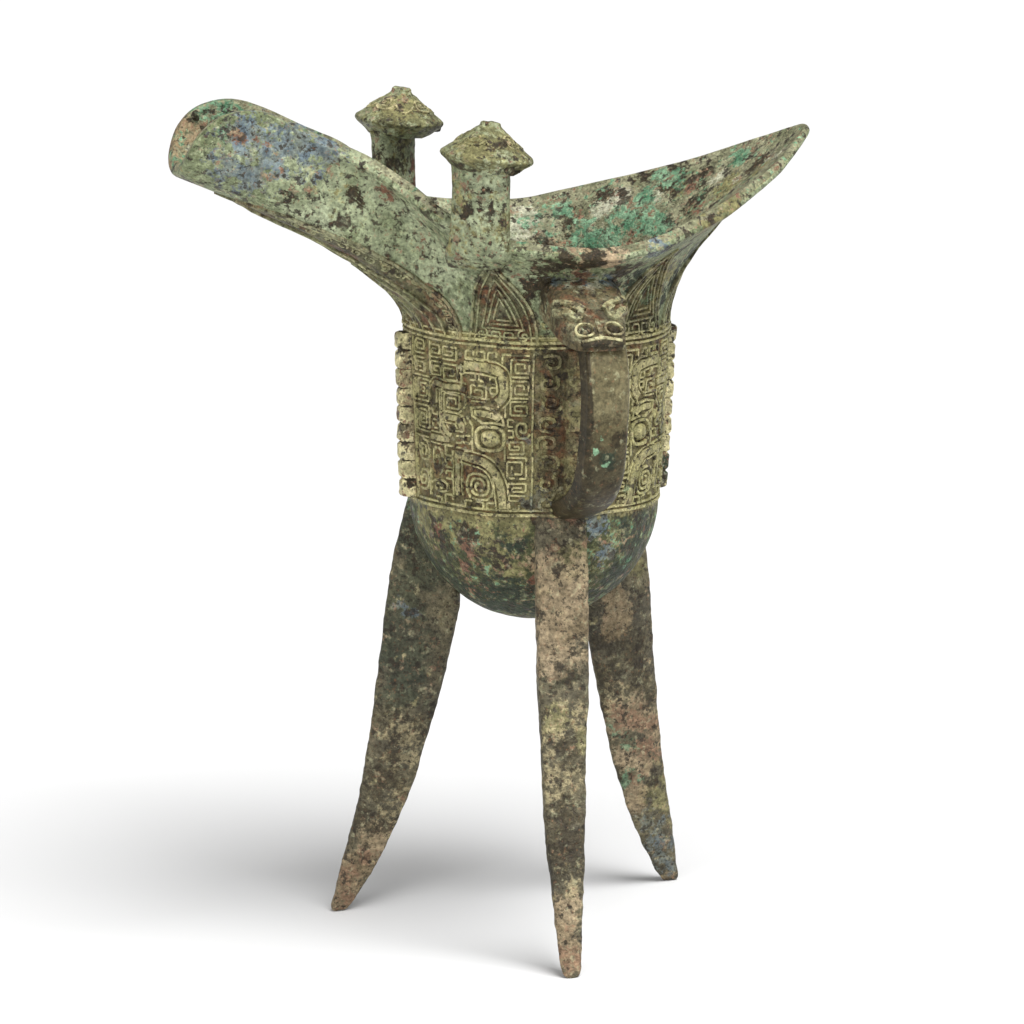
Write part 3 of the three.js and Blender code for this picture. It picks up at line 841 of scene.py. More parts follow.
def ridge(parts, path, surface, width=LINE, height=RELIEF, shift=0, closed=False, shine=1, **marks):
    """A raised line with sloping sides along a path on a surface, lower here and there where it wore down.
    """
    path = np.asarray(path, float)
    points, normals = surface(path)
    if closed:
        before, after = np.roll(points, 1, 0), np.roll(points, -1, 0)
    else:
        before = np.vstack([points[0] * 2 - points[1], points[:-1]])
        after = np.vstack([points[1:], points[-1] * 2 - points[-2]])
    come = unit(np.cross(unit(points - before), normals))
    leave = unit(np.cross(unit(after - points), normals))
    across = come + leave
    across *= (2 / np.maximum((across**2).sum(1), 1.1))[:, None]
    worn = np.array([noise.noise(Vector(point) / 6) for point in points])
    rise = height * np.clip(0.82 + 0.5 * worn, 0.35, 1.15)[:, None]
    half = width / 2
    points = points + across * shift
    columns = [
        points + across * (half + FOOT_SPREAD) - normals * ROOT,
        points + across * half * LINE_TOP + normals * rise,
        points - across * half * LINE_TOP + normals * rise,
        points - across * (half + FOOT_SPREAD) - normals * ROOT,
    ]
    grid = np.stack(columns, 1)
    count = len(points)
    faces = []
    for i in range(count if closed else count - 1):
        j = (i + 1) % count
        for k in range(4):
            m = (k + 1) % 4
            faces.append((4 * i + k, 4 * j + k, 4 * j + m, 4 * i + m))
    if not closed:
        last = 4 * (count - 1)
        faces += [(3, 2, 1, 0), (last, last + 1, last + 2, last + 3)]
    relief = np.tile([0, shine, shine, 0], count)
    parts.add(grid.reshape(-1, 3), faces, **{"relief": relief, "carved": 1, **marks})


def dome(parts, centre, halves, height, surface, shine=0.8, **marks):
    """A low boss over an oval on a surface."""
    rings = []
    for level in (-ROOT / height, 0.1, 0.5, 0.8, 0.95):
        size = math.sqrt(max(0.02, 1 - max(0, level)**2))
        oval = superellipse(halves[0] * size, halves[1] * size, 16, 0.85) + centre
        points, normals = surface(oval)
        rings.append(points + normals * height * level)
    points, normals = surface(np.array([centre], float))
    grid = np.vstack([np.vstack(rings), points + normals * height])
    faces = ring_faces(5, 16, tips=False)
    top = 5 * 16
    faces += [(4 * 16 + i, 4 * 16 + (i + 1) % 16, top) for i in range(16)]
    faces.append(tuple(range(15, -1, -1)))
    relief = np.concatenate([np.zeros(16), np.full(len(grid) - 16, shine)])
    parts.add(grid, faces, **{"relief": relief, "carved": 1, **marks})


# Frieze, one half of a mask: across from the mask's middle and up from the frieze's lower edge, mm.
# A spiral cell has its left, right, lower and upper sides, and the corner where the line starts.
FRETS = [
    (11, 15.8, 34.2, 39.1, 0), (11, 15.8, 29, 33.7, 0), (11.3, 15.8, 24.8, 28.7, 2),
    (12.1, 16.1, 15.1, 18.5, 1), (11.5, 16.6, 9.1, 14.7, 3), (11.5, 16.3, 4.7, 8.3, 0),
    (13.1, 16.3, 0.9, 3.9, 2), (18.9, 21.5, 37.7, 40.3, 0), (21.9, 24.5, 37.7, 40.3, 1),
    (24.9, 27.5, 37.7, 40.3, 0), (21.4, 26, 27.6, 32, 1), (21.9, 23.8, 32.7, 34.9, 0),
    (24.2, 26.2, 32.7, 34.9, 1), (18.7, 20.8, 32.4, 34.4, 2), (18.7, 20.8, 29.9, 31.9, 0),
    (28.8, 34, 23.9, 28.9, 0), (27.6, 30.4, 19.5, 22, 1), (34.9, 39, 37, 40.6, 0),
    (29.6, 34.3, 37, 40.6, 1), (34.5, 38.4, 32.6, 36.4, 2), (29.4, 34, 31.9, 36.3, 3),
    (40.8, 45.7, 37.2, 41, 0), (40.8, 45.7, 32.8, 36.6, 2), (39, 44.5, 25.6, 31.3, 1),
    (39, 44.5, 19, 24.9, 3), (25.2, 27.8, 0.9, 3, 0), (22.2, 24.7, 0.9, 3, 1),
    (19.3, 21.8, 0.9, 3, 0), (30.8, 33.6, 13, 16, 2), (31.2, 33.8, 9.9, 12.5, 0),
    (31.2, 33.8, 7, 9.5, 1), (25.3, 28, 16.8, 19.2, 2), (14.6, 16.4, 21.9, 24.2, 0),
    (14.6, 16.4, 19.2, 21.4, 3), (28, 30.2, 16.6, 18.8, 1), (35.8, 38.2, 22.8, 25.2, 2),
    (35.8, 38.2, 19.4, 21.9, 0), (45.1, 46.7, 25.5, 31, 0), (45.1, 46.7, 18.7, 24.8, 2),
    (27.3, 29.2, 34, 36.3, 1), (31, 34, 0.9, 3.6, 0), (34.8, 37.4, 0.9, 2.6, 1),
]
COILS = [
    (12.6, 21.5, 2, 2.6, 1.6, 200, 1), (23.7, 6.8, 4.2, 4, 2.9, 150, 1), (42.2, 13.3, 3, 3, 2, 90, 1),
    (36.6, 11.8, 2.3, 4, 1.7, 260, -1), (35.6, 4.9, 3.4, 1.7, 1.8, 20, 1),
    (42.6, 6.2, 2.9, 2.9, 1.9, 300, -1), (45.5, 34.9, 0.9, 1.4, 1.2, 0, 1),
]
# Broad bands: width, how high they stand, and their places
BANDS = [
    (2.4, 0.75, [
        (27.5, 36.4), (23.9, 36.4), (20.5, 36.2), (18, 35.2), (17.2, 32.7), (17.2, 29.8), (18.7, 28),
    ]),
    (2.2, 0.75, [
        (30.2, 14), (26, 13.4), (22.5, 12.9), (19.9, 11), (18.2, 7.8), (17.6, 4.7), (17.3, 1.5),
    ]),
    (1.5, 0.7, [(27.2, 30.4), (30, 30.6), (33.5, 30.3), (36.6, 30.8), (38, 29.6)]),
    (1.6, 0.7, [(34.3, 22.8), (31.5, 22.9), (29.4, 22.6), (28.3, 21)]),
    (1.3, 0.65, [(31.5, 18.4), (33.4, 19.4), (34.6, 21.4), (35, 24)]),
    (1.6, 0.7, [(38.6, 17.4), (35.5, 17.2), (32.2, 17.4)]),
    (1.4, 0.65, [(29.6, 3.6), (29.9, 7), (29.8, 10.5), (30, 13.4)]),
]
THIN = [
    [(35.2, 18.5), (35.2, 29.5)], [(36.4, 25.8), (36.4, 29.5)], [(46.9, 0.6), (46.9, 41)],
    [(10.2, 0.8), (10.2, 40.6)], [(38.8, 31.9), (46.4, 31.9)], [(38.7, 18.4), (46.4, 18.4)],
    [(28.4, 31), (28.4, 36.6)], [(16.8, 24.4), (16.8, 27.4)], [(17, 13.4), (17, 18.6)],
    [(38.6, 32.4), (38.6, 41)], [(39.6, 16.9), (46.4, 16.9)], [(46.2, 1.2), (46.2, 16.4)],
    [(39.4, 2.4), (39.4, 9.4)], [(11.2, 39.9), (17.6, 39.9), (17.6, 37.6)],
    [(18.5, 26.4), (18.5, 28.6)], [(27.6, 14.9), (25.2, 15.3), (25.1, 21.6), (27, 23.8)],
    [(29.2, 24.2), (27.3, 26.2), (27.3, 28.6), (20.6, 28.7)], [(34.6, 24.4), (34.6, 29.6)],
]
BROW = [
    (25.7, 26.1), (22.5, 26.7), (19.5, 26.1), (17.4, 24.2), (17.2, 22.5), (19.5, 22.9), (22.5, 22.6),
    (25.3, 24.2),
]


def mask_half(parts, centre, side):
    surface = body_surface(centre, side)
    for x0, x1, z0, z1, start in FRETS:
        ridge(parts, fret(x0, x1, z0, z1, start), surface)
    for x, z, half_x, half_z, turns, start, way in COILS:
        ridge(parts, coil(x, z, half_x, half_z, turns, start, way=way), surface, 0.6)
    for width, height, places in BANDS:
        path = curve(places, 3 * len(places))
        ridge(parts, path, surface, width, height, shine=0.72)
        for side_line in (-1, 1):
            ridge(parts, path, surface, 0.42, 0.55, shift=side_line * (width / 2 + 0.62))
    for places in THIN:
        ridge(parts, divided(np.array(places, float)), surface, 0.5)
    brow = np.array(BROW)
    ridge(parts, brow, surface, 0.6, 0.8, closed=True)
    middle = curve([(24.8, 25), (22.3, 25), (19.6, 24.6), (18.3, 23.6)], 8)
    ridge(parts, middle, surface, 1.7, 0.6, shine=0.9)
    eye = superellipse(3.5, 3, 24, 0.7) + [20.6, 18.9]
    ridge(parts, eye, surface, 0.8, 0.9, closed=True)
    dome(parts, (20.6, 18.9), (2.5, 2.1), 1.3, surface)
    ridge(parts, [(19.4, 19), (21.8, 19)], surface, 0.35, 1.42, shine=0)
    ridge(parts, [(20.6, 17.9), (20.6, 20.2)], surface, 0.35, 1.42, shine=0)


def nose(parts, centre):
    """The low notched ridge between the mask's halves, with worn lumps beside it."""
    surface = body_surface(centre, 1)
    ridge(parts, divided(np.array([(0, 0.8), (0, 40.8)])), surface, 4.4, 0.6, shine=0.2)
    for step in range(8):
        low = 1 + step * 5
        ridge(parts, [(0, low), (0, low + 1.8), (0, low + 3.6)], surface, 3.6, 1, shine=0.3)
        for side in (-1, 1):
            across = side * (6.2 + 0.4 * math.sin(step * 2.3))
            path = coil(across, low + 2, 2.8, 2.1, 1.35, 70 * step, steps=10, way=side)
            ridge(parts, path, surface, 0.9, 0.6, shine=0.35)


def far_middle(parts, centre):
    """Two columns of spirals beside the far flange."""
    for side in (-1, 1):
        surface = body_surface(centre, side)
        ridge(parts, divided(np.array([(2.6, 0.8), (2.6, 40.8)])), surface)
        for step in range(8):
            low = 1.2 + step * 5
            ridge(parts, fret(3.4, 9.4, low, low + 4.3, step % 4), surface)


def body_borders(parts):
    lines = [(-0.1, 0.75, 0.7), (1.1, 0.5, 0.5), (41.7, 0.6, 0.6), (43, 0.75, 0.75), (44.3, 0.5, 0.5)]
    way = np.linspace(0, 2 * math.pi * FRIEZE_ARC, 120, endpoint=False)
    for up, width, height in lines:
        around = np.stack([way, np.full(120, up)], 1)
        ridge(parts, around, body_surface(0, 1), width, height, closed=True, shine=0.9)


def blade_edge(half, apex, steps, table=EDGE):
    """Both edges of a rising blade, from one foot over the point to the other."""
    one = curve(table * [half, apex], steps)
    other = one[:-1][::-1] * [-1, 1]
    return np.vstack([one, other])


def small_blade(parts, centre):
    """A narrow rising blade with nested triangles and spirals at its foot."""
    height = 34.0
    half = 8.6
    apex = height * SMALL_APEX
    surface = neck_surface(centre, height, small_lean(centre) / height)
    ridge(parts, blade_edge(half, apex, 14), surface, 0.7, 0.7, shine=0.6)
    ridge(parts, blade_edge(half - 1.4, apex - 2.6, 14), surface, 0.45, 0.6, shine=0.6)
    for low, top, wide in ((3.4, 19, 5.2), (4.5, 15.4, 3.7), (5.6, 12, 2.2)):
        triangle = [(wide, low), (0, top), (-wide, low), (wide - 0.8, low)]
        ridge(parts, divided(np.array(triangle, float)), surface, 0.5, 0.65, shine=0.6)
    ridge(parts, fret(-2.9, -0.3, 0.4, 2.9, 0), surface, 0.45)
    ridge(parts, fret(0.3, 2.9, 0.4, 2.9, 1), surface, 0.45)
    for side in (-1, 1):
        ridge(parts, coil(side * 5.2, 1.9, 1.6, 1.5, 1.3, 90, way=side), surface, 0.45)


def spout_blade(parts):
    surface = neck_surface(0)
    outer = blade_edge(SPOUT_HALF, SPOUT_APEX, 40, SPOUT_EDGE)
    ridge(parts, outer, surface, 0.9, 0.8, shine=0.35)
    ridge(parts, outer, surface, 0.5, 0.5, shift=0.9, shine=0.5)
    ridge(parts, outer, surface, 0.5, 0.5, shift=4.6, shine=0.5)
    for side in (-1, 1):
        for step in range(16):
            share = 0.025 + step * 0.045
            edge = np.interp(share / SPOUT_APEX, SPOUT_EDGE[:, 1], SPOUT_EDGE[:, 0]) * SPOUT_HALF
            middle = np.array([side * (edge - 3.6), share + 0.012])
            path = coil(0, 0, 1, 1, 1.4, 90 * step, steps=9, way=side) * [1.9, 0.017] + middle
            ridge(parts, path, surface, 0.45, 0.5, shine=0.6)
    for half, apex in ((26, 0.6), (18, 0.42), (11, 0.26)):
        ridge(parts, blade_edge(half, apex, 16) + [0, 0.012], surface, 0.6, 0.55, shine=0.6)
    ridge(parts, [(-6, 0.03), (0, 0.13), (6, 0.03), (-5, 0.03)], surface, 0.5, 0.5, shine=0.6)


def tail_blade(parts):
    surface = neck_surface(180)
    ridge(parts, blade_edge(TAIL_HALF, TAIL_APEX, 30), surface, 0.9, 0.75)
    ridge(parts, blade_edge(TAIL_HALF, TAIL_APEX, 30), surface, 0.5, 0.55, shift=2.2)
    for half, apex in ((27, 0.72), (20, 0.55), (13, 0.38), (7, 0.22)):
        ridge(parts, blade_edge(half, apex, 16) + [0, 0.012], surface, 0.6, 0.55)


def head_relief(parts):
    surface = head_surface()
    horn = [
        (8.9, 2), (8.2, 2.5), (6.3, 2.9), (5.2, 3.2), (4.2, 3.2), (3.6, 2.95), (4.1, 2.72), (4.8, 2.78),
    ]
    leaf = [(8.6, 1.85), (6.8, 2.2), (4.9, 2.42), (3.2, 2.62), (2.4, 2.8)]
    for side in (-1, 1):
        for places, width in ((horn, 2), (leaf, 1.5)):
            path = curve(np.array(places) * [side, 1], 4 * len(places))
            ridge(parts, path, surface, width, 1.2, shine=0.6, head=1)
        eye = superellipse(2.2, 0.42, 20, 0.9) + [side * 3.5, 4.02]
        ridge(parts, eye, surface, 0.6, 0.75, closed=True, head=1)
        dome(parts, (side * 3.5, 4.02), (1.6, 0.3), 0.8, surface, shine=0, head=1, umber=0.75, carved=0)
    mouth = curve([(-4.9, 4.85), (-2.4, 4.7), (0, 4.62), (2.4, 4.7), (4.9, 4.85)], 14)
    ridge(parts, mouth, surface, 0.9, 0.55, head=1)
    # A dark band at the snout's edge: painted shadow in the gap between the head and the strap
    mouth = curve([(-5.1, 5.14), (-2.5, 5.02), (0, 4.96), (2.5, 5.02), (5.1, 5.14)], 14)
    ridge(parts, mouth, surface, 1.6, 0.35, shine=0, head=1, umber=1, carved=0)
    ridge(parts, curve([(0, 3.3), (0, 3.9), (0, 4.5)], 6), surface, 1.1, 0.4, shine=0.5, head=1)


def cap_relief(parts, side, place_x):
    surface = cap_surface(side, place_x)
    for step in range(4):
        turn = 40 + 90 * step
        whorl = coil(0, 0, 1, 1, 1.7, 0, steps=14) * [24, 2] + [turn, 6.2]
        ridge(parts, whorl, surface, 0.6, 0.35, shine=0.9, post=1)
        link = curve([(turn + 24, 6.2), (turn + 45, 8.4), (turn + 66, 6.4)], 8)
        ridge(parts, link, surface, 0.5, 0.3, shine=0.9, post=1)


LUMPS = [
    (-18.5, -43, 198.6, 1.9), (-16.6, -40, 198.4, 1.5), (-20.5, -46.2, 198.6, 1.3), (-16, -36, 199, 1.1),
    (-17, 36, 198.6, 1.2), (-84.5, 10, 206, 1.2),
]


def lumps(parts):
    """Corrosion that stands up in small grains."""
    for x, y, z, radius in LUMPS:
        bpy.ops.object.select_all(action="DESELECT")
        bpy.ops.mesh.primitive_ico_sphere_add(subdivisions=2, radius=radius, location=(x, y, z))
        piece = bpy.context.object
        bpy.ops.object.transform_apply(location=True, rotation=False, scale=False)
        for vertex in piece.data.vertices:
            vertex.co += noise.noise_vector(vertex.co / 1.3) * radius * 0.45
        points = np.array([vertex.co for vertex in piece.data.vertices])
        faces = [tuple(polygon.vertices) for polygon in piece.data.polygons]
        bpy.data.objects.remove(piece)
        parts.add(points, faces, post=1, umber=0.8)


def relief(parts):
    for centre in (MASK_ANGLE, MASK_ANGLE - 180):
        for side in (-1, 1):
            mask_half(parts, centre, side)
    nose(parts, MASK_ANGLE)
    far_middle(parts, MASK_ANGLE - 180)
    body_borders(parts)
    for centre in SMALL_BLADES:
        small_blade(parts, centre)
    spout_blade(parts)
    tail_blade(parts)
    head_relief(parts)
    for side, place_x in POSTS:
        cap_relief(parts, side, place_x)
    lumps(parts)


# Where each kind of patina lies: places in mm round the body's axis, and how far it spreads
PATCHES = {
    "azurite": [
        (-77, -14, 203, 8), (-71, -14, 199, 10), (-65, -14, 201, 9), (-59, -15, 200, 7),
        (-75, -13, 195, 8), (-81, -13, 196, 6), (-57, -15, 198, 4), (17, -42, 179, 4),
        (-1, -48, 169, 3), (6, -48, 169, 3), (-9, -30, 115, 4), (-7, -30, 116, 3), (8, -30, 109, 4),
        (11, -27, 100, 4), (7, -30, 107, 3), (-10, -30, 130, 1.6), (-30, -8, 112, 2),
        (-32, 11, 81, 2.4), (-29, 10, 79, 2), (37, 19, 20, 5), (42, 21, 12, 6), (45, 23, 6, 5),
        (40, 20, 17, 6), (43, 22, 8, 7), (41, 21, 13, 6), (-5, -38, 170, 2.5), (2, -39, 171, 2.5),
        (7, -39, 170, 2.5),
    ],
    "malachite": [
        (-79, 13, 206, 6), (-82, -14, 204, 3), (-82, 13, 204, 4), (10, 35, 173, 5), (21, 26, 171, 7),
        (26, 22, 172, 6), (31, 22, 177, 7), (35, 14, 176, 6), (41, 24, 187, 5), (55, 10, 194, 5),
        (35, 24, 182, 4), (17, 36, 177, 4), (20, -27, 165, 3), (3, -54, 128, 1.5), (1, -56, 135, 1.3),
        (0, -55, 131, 1), (16, -28, 116, 1.5), (18, -20, 97, 2.6),
        (-30, 11, 108, 2), (29, 14, 42, 3), (31, 17, 30, 3), (27, 13, 45, 2.4), (34, 16, 31, 2.4),
        (25, 13, 47, 2), (31, 14, 40, 2.4), (30, 16, 32, 3),
    ],
    "earth": [
        (-87, 13, 201, 6), (-88, 10, 197, 5), (-90, 6, 194, 4), (12, 30, 167, 4), (0, -42, 177, 4),
        (6, -44, 177, 4), (-2, -35, 95, 12), (-2, -35, 89, 14), (-3, -36, 83, 14), (3, -36, 86, 12),
        (-4, -48, 16, 6), (-5, -49, 11, 8), (-3, -50, 6, 7), (-36, 18, 18, 6),
        (-40, 20, 12, 8), (-42, 22, 5, 7), (-43, 23, 0, 6), (-35, 20, 11, 6), (26, 10, 76, 6),
        (24, 10, 72, 4), (24, 9, 82, 5), (33, 14, 48, 7), (26, 13, 48, 6), (38, 16, 42, 5),
        (30, 15, 38, 5), (34, 17, 26, 5), (39, 16, 44, 5), (35, 16, 35, 4), (34, 18, 24, 4),
        (45, 25, 2, 2.5),
    ],
    "cuprite": [
        (-79, -14, 203, 2.5), (-73, -14, 202, 2), (-1, -40, 171, 3), (7, -41, 169, 3),
        (-6, -40, 168, 3), (-43, -17, 189, 3.4), (-23, 37, 189, 2.6),
        (-22, 38, 185, 2), (44, 15, 186, 3), (43, 5, 182, 3), (30, 18, 172, 2), (-6, -44, 170, 3),
        (3, -46, 168, 2.6), (-37, -16, 171, 1.6), (-30, -18, 164, 2), (-28, -20, 160, 2),
        (-32, -17, 166, 1.8), (-32, -2, 149, 1.4), (-33, -2, 127, 1.6), (-22, -19, 101, 2.6),
        (-22, -16, 97, 2.4), (-19, -20, 98, 1.8), (-4, -33, 103, 3), (-5, -31, 110, 3),
        (-20, -25, 148, 2), (-29, -20, 161, 1.6), (-28, -12, 105, 2), (1, -31, 110, 2.6),
        (5, -32, 104, 2.5), (-7, -25, 94, 2.2), (-28, 11, 64, 2), (-22, 10, 65, 2.4), (-23, 9, 72, 2.4),
        (-23, 10, 62, 1.8), (-43, 23, -1, 3), (-4, -52, 2, 3.2), (-4, -51, 3, 2.4), (33, 14, 46, 4),
        (27, 13, 49, 4), (38, 16, 46, 4), (37, 16, 39, 4), (46, 25, 1, 2), (-29, 15, 30, 1.6),
        (40, 17, 37, 3), (33, 16, 32, 3), (-2, -51, 4, 2.5), (-42, 22, 2, 5), (-41, 22, 9, 4.5),
        (-38, 19, 15, 4), (-4, -51, 6, 4), (-3, -50, 12, 3), (32, 14, 47, 6), (35, 15, 41, 5),
    ],
    "celadon": [
        (-61, -14, 190, 12), (-54, -14, 186, 11), (-39, -16, 183, 10), (-51, -15, 193, 7),
        (-43, -15, 178, 9), (-31, -18, 174, 10), (-29, -37, 178, 10), (-27, -39, 192, 10),
        (-30, -37, 184, 8), (-29, 32, 193, 8), (-24, -40, 176, 8), (-14, -36, 173, 7),
        (-35, -17, 176, 9),
    ],
    "umber": [
        (18, 35, 178, 3), (18, 32, 174, 3), (17, 30, 171, 2.4), (40, 22, 186, 6), (42, 7, 181, 4),
        (32, 17, 175, 2), (36, 30, 185, 4), (43, 23, 188, 4), (48, 16, 189, 4), (44, 7, 184, 3.4),
        (9, 31, 167, 4), (63, -2, 199, 2.5), (-6, -43.5, 176.5, 3.5), (1, -45, 176.5, 3),
        (26, 33, 182, 3), (45, 12, 186, 2.5),
        (-31, -40, 199, 3), (-22, -41, 201, 2.6), (-27, -36, 205, 2.4), (-20, -35, 199, 3),
        (-29, 33, 200, 3), (-22, 34, 203, 2.5), (-25, -41, 193, 1.8), (-28, -38, 187, 2.6),
        (-51, -14, 190, 2), (-49, -15, 187, 1.6),
        (-67, -13, 189, 3), (56, 1, 193, 4), (-7, -40, 174, 5), (-3, -42, 174, 5), (11, -38, 172, 6),
        (-9, -34, 169, 6), (-35, -2, 149, 1.6), (-32, -2, 115, 1.8), (-3, -32, 150, 6), (-2, -32, 142, 5),
        (-2, -32, 130, 5), (-6, -31, 123, 4), (-2, -31, 119, 4), (1, -44, 115, 6), (-4, -38, 116, 5),
        (-22, -21, 105, 3.4), (-27, -12, 103, 4), (-7, -31, 112, 4), (6, -55, 134, 3),
        (-20, -27, 164, 4), (-14, -29, 159, 4), (-33, 13, 50, 8), (-35, 15, 34, 8), (-27, 12, 50, 6),
        (-39, 18, 24, 6), (-40, 19, 17, 5), (-3, -44, 32, 10), (-4, -45, 26, 8), (-2, -40, 53, 6),
        (-3, -42, 41, 7), (-3, -38, 74, 5), (24, 11, 63, 8), (22, 12, 58, 8), (28, 11, 67, 8),
        (34, 13, 58, 7), (20, 10, 70, 6), (36, 15, 53, 4), (-8, -40, 47, 4), (28, 16, 32, 4),
        (-33, 14, 43, 5),
    ],
    "ochre": [
        (42, 17, 185, 3.4), (50, 3, 188, 6), (54, -5, 192, 5), (33, -35, 183, 6), (40, -30, 186, 5),
        (-19, -43, 204, 6), (-27, -44, 204, 6), (-28, 30, 205, 6), (20, -27, 162, 5), (24, -25, 168, 6),
        (-25, -18, 109, 9), (-29, -8, 106, 6), (-13, -28, 110, 6), (-19, -23, 104, 7),
        (-15, -25, 100, 4), (-12, -25, 97, 5), (1, -33, 101, 6), (-3, -34, 97, 3), (-27, -20, 122, 9),
        (-27, -17, 140, 9), (-19, -27, 123, 8), (-30, -10, 132, 8), (-19, -28, 137, 5),
        (-12, -29, 135, 6), (38, 17, 28, 5), (41, 19, 25, 4), (42, 18, 30, 4), (3, -40, 57, 5),
        (2, -33, 102, 5), (-4, -39, 61, 6), (31, 11, 89, 4),
    ],
    "chalk": [
        (5, 36, 173, 5), (8, 39, 176, 4), (25, 29, 178, 5), (37, 22, 183, 4), (3, 34, 170, 4),
        (49, 10, 189, 3), (30, 30, 181, 3.5), (55, 2, 193, 3), (58, -3, 196, 3), (51, 2, 189, 2.5),
        (8, 36, 174, 4), (-3, -39, 170, 3), (5, -40, 170, 3), (1, -41, 171, 3), (-86, 10, 197, 3),
        (60, -6, 197, 3), (7, -30, 108, 2.6),
        (5, -42, 114, 2.4), (-7, -30, 114, 2),
    ],
    "deep_patina_and_shade": [
        (20, -26, 159, 5), (31, -18, 167, 7), (15, -33, 169, 6), (25, -22, 163, 4), (35, -16, 172, 6),
        (-28, 9, 99, 8), (-26, 0, 93, 7), (-20, -8, 89, 7), (-12, -19, 90, 9), (15, -26, 104, 6),
        (21, -21, 104, 7), (15, -20, 93, 6), (-12, -27, 104, 5), (-7, -17, 86, 8), (3, -54, 129, 3),
        (28, -16, 131, 4), (34, -2, 117, 4), (-26, 9, 90, 9), (-31, 11, 82, 9), (-32, 12, 72, 11),
        (-28, 11, 63, 9), (-30, 12, 58, 8), (-28, 9, 97, 7), (-3, -37, 75, 6),
    ],
    "cream": [
        (-34, -2, 145, 3.5), (-33, -2, 141, 3.5), (-33, -2, 135, 3.5), (-33, -2, 129, 3),
        (-32, -2, 124, 3), (-9, -31, 148, 3), (-9, -31, 140, 3.5), (-8, -31, 137, 2.5),
        (-19, -28, 138, 3), (-29, 13, 46, 6), (-30, 14, 41, 5), (-32, 13, 47, 4), (-29, 15, 31, 4),
        (-33, 16, 25, 5), (-27, 14, 40, 4), (-32, 17, 22, 4), (-3, -40, 58, 6), (1, -39, 65, 5),
        (-5, -41, 48, 5), (-5, -42, 43, 5), (-1, -47, 22, 4), (2, -42, 47, 4), (1, -40, 61, 5),
        (-6, -40, 55, 4), (33, 13, 64, 2.6), (26, 12, 56, 4), (22, 12, 55, 4), (-2, -47, 19, 3),
    ],
}

# How much of each kind turns up here and there over a whole region
SCATTERED = {
    "inside": {"umber": 0.27, "malachite": 0.24, "chalk": 0.3, "cuprite": 0.26, "ochre": 0.24},
    "neck": {"umber": 0.2, "celadon": 0.3, "cuprite": 0.2, "ochre": 0.16},
    "bowl": {"ochre": 0.28, "deep_patina_and_shade": 0.3, "cuprite": 0.22, "umber": 0.24, "malachite": 0.18},
    "leg": {"earth": 0.09, "umber": 0.16, "cream": 0.12, "ochre": 0.16, "cuprite": 0.14},
    "flange": {"cuprite": 0.3, "chalk": 0.3, "umber": 0.16, "ochre": 0.2},
    "post": {"celadon": 0.3, "umber": 0.28, "ochre": 0.3, "cuprite": 0.22},
}

# The same for the frieze
FRIEZE_KINDS = {"celadon": 0.2, "cuprite": 0.25, "umber": 0.22, "ochre": 0.3}

# The side that the photo doesn't show has a like patina, moved along a little
FAR_KINDS = ("azurite", "malachite", "cuprite", "celadon", "ochre", "deep_patina_and_shade", "umber")
for kind in FAR_KINDS:
    near_places = [place for place in PATCHES[kind] if place[1] < -12 and place[2] > 92]
    PATCHES[kind] += [(x + 6, -y, z - 3, size * 0.85) for x, y, z, size in near_places]

# How far a patch fades out, in radii, and how much of one is left on a leg
PATCH_FADE = 1.5
LEG_PATCHES = 0.82


def painted(points, places):
    """How strongly a patina lies at each point."""
    weight = np.zeros(len(points))
    for x, y, z, radius in places:
        away = np.linalg.norm(points - [x, y, z], axis=1)
        weight = np.maximum(weight, 1 - away / (radius * PATCH_FADE))
    return weight


def raise_mark(marks, kind, amount):
    """Lifts one kind's mark to at least some amount."""
    column = MARKS.index(kind)
    marks[:, column] = np.maximum(marks[:, column], amount)


def zones(points, marks):
    """Marks for the regions that differ in their patina or in painted shade, from where the points are."""
    height = points[:, 2]
    inside = marks[:, MARKS.index("inside")] > 0.5
    leg = marks[:, MARKS.index("leg")] > 0.5
    neck = band_share(height, FRIEZE_TOP - 1, FRIEZE_TOP + 5)
    neck[inside | leg] = 0
    bowl = band_share(height, FRIEZE_BOTTOM + 1, FRIEZE_BOTTOM - 4)
    bowl[inside | leg] = 0
    marks[:, MARKS.index("neck")] = neck
    marks[:, MARKS.index("bowl")] = bowl
    # The bowl grows darker towards its bottom: painted shade under the body
    marks[:, MARKS.index("deep_patina_and_shade")] = bowl * band_share(height, 103, 84) * 0.75
    for region, kinds in SCATTERED.items():
        share = marks[:, MARKS.index(region)]
        for kind, amount in kinds.items():
            raise_mark(marks, kind, share * amount)
    frieze = (height > FRIEZE_BOTTOM) & (height < FRIEZE_TOP) & (marks[:, MARKS.index("carved")] > 0.5)
    for kind, amount in FRIEZE_KINDS.items():
        raise_mark(marks, kind, frieze * amount)
    strength = np.where(leg, LEG_PATCHES, 1)
    for kind, places in PATCHES.items():
        raise_mark(marks, kind, painted(points, places) * strength)
    return marks


def to_linear(code):
    """A colour's hex code, in linear light."""
    values = [int(code[i:i + 2], 16) / 255 for i in (1, 3, 5)]
    linear = [v / 12.92 if v <= 0.04045 else ((v + 0.055) / 1.055)**2.4 for v in values]
    return (*linear, 1)


def add_node(tree, kind, inputs=(), **settings):
    """One shader node: settings are its own fields, inputs are values or other nodes' sockets."""
    made = tree.nodes.new(kind)
    for name, value in settings.items():
        setattr(made, name, value)
    for name, value in dict(inputs).items():
        if isinstance(value, bpy.types.NodeSocket):
            tree.links.new(value, made.inputs[name])
        else:
            made.inputs[name].default_value = value
    return made


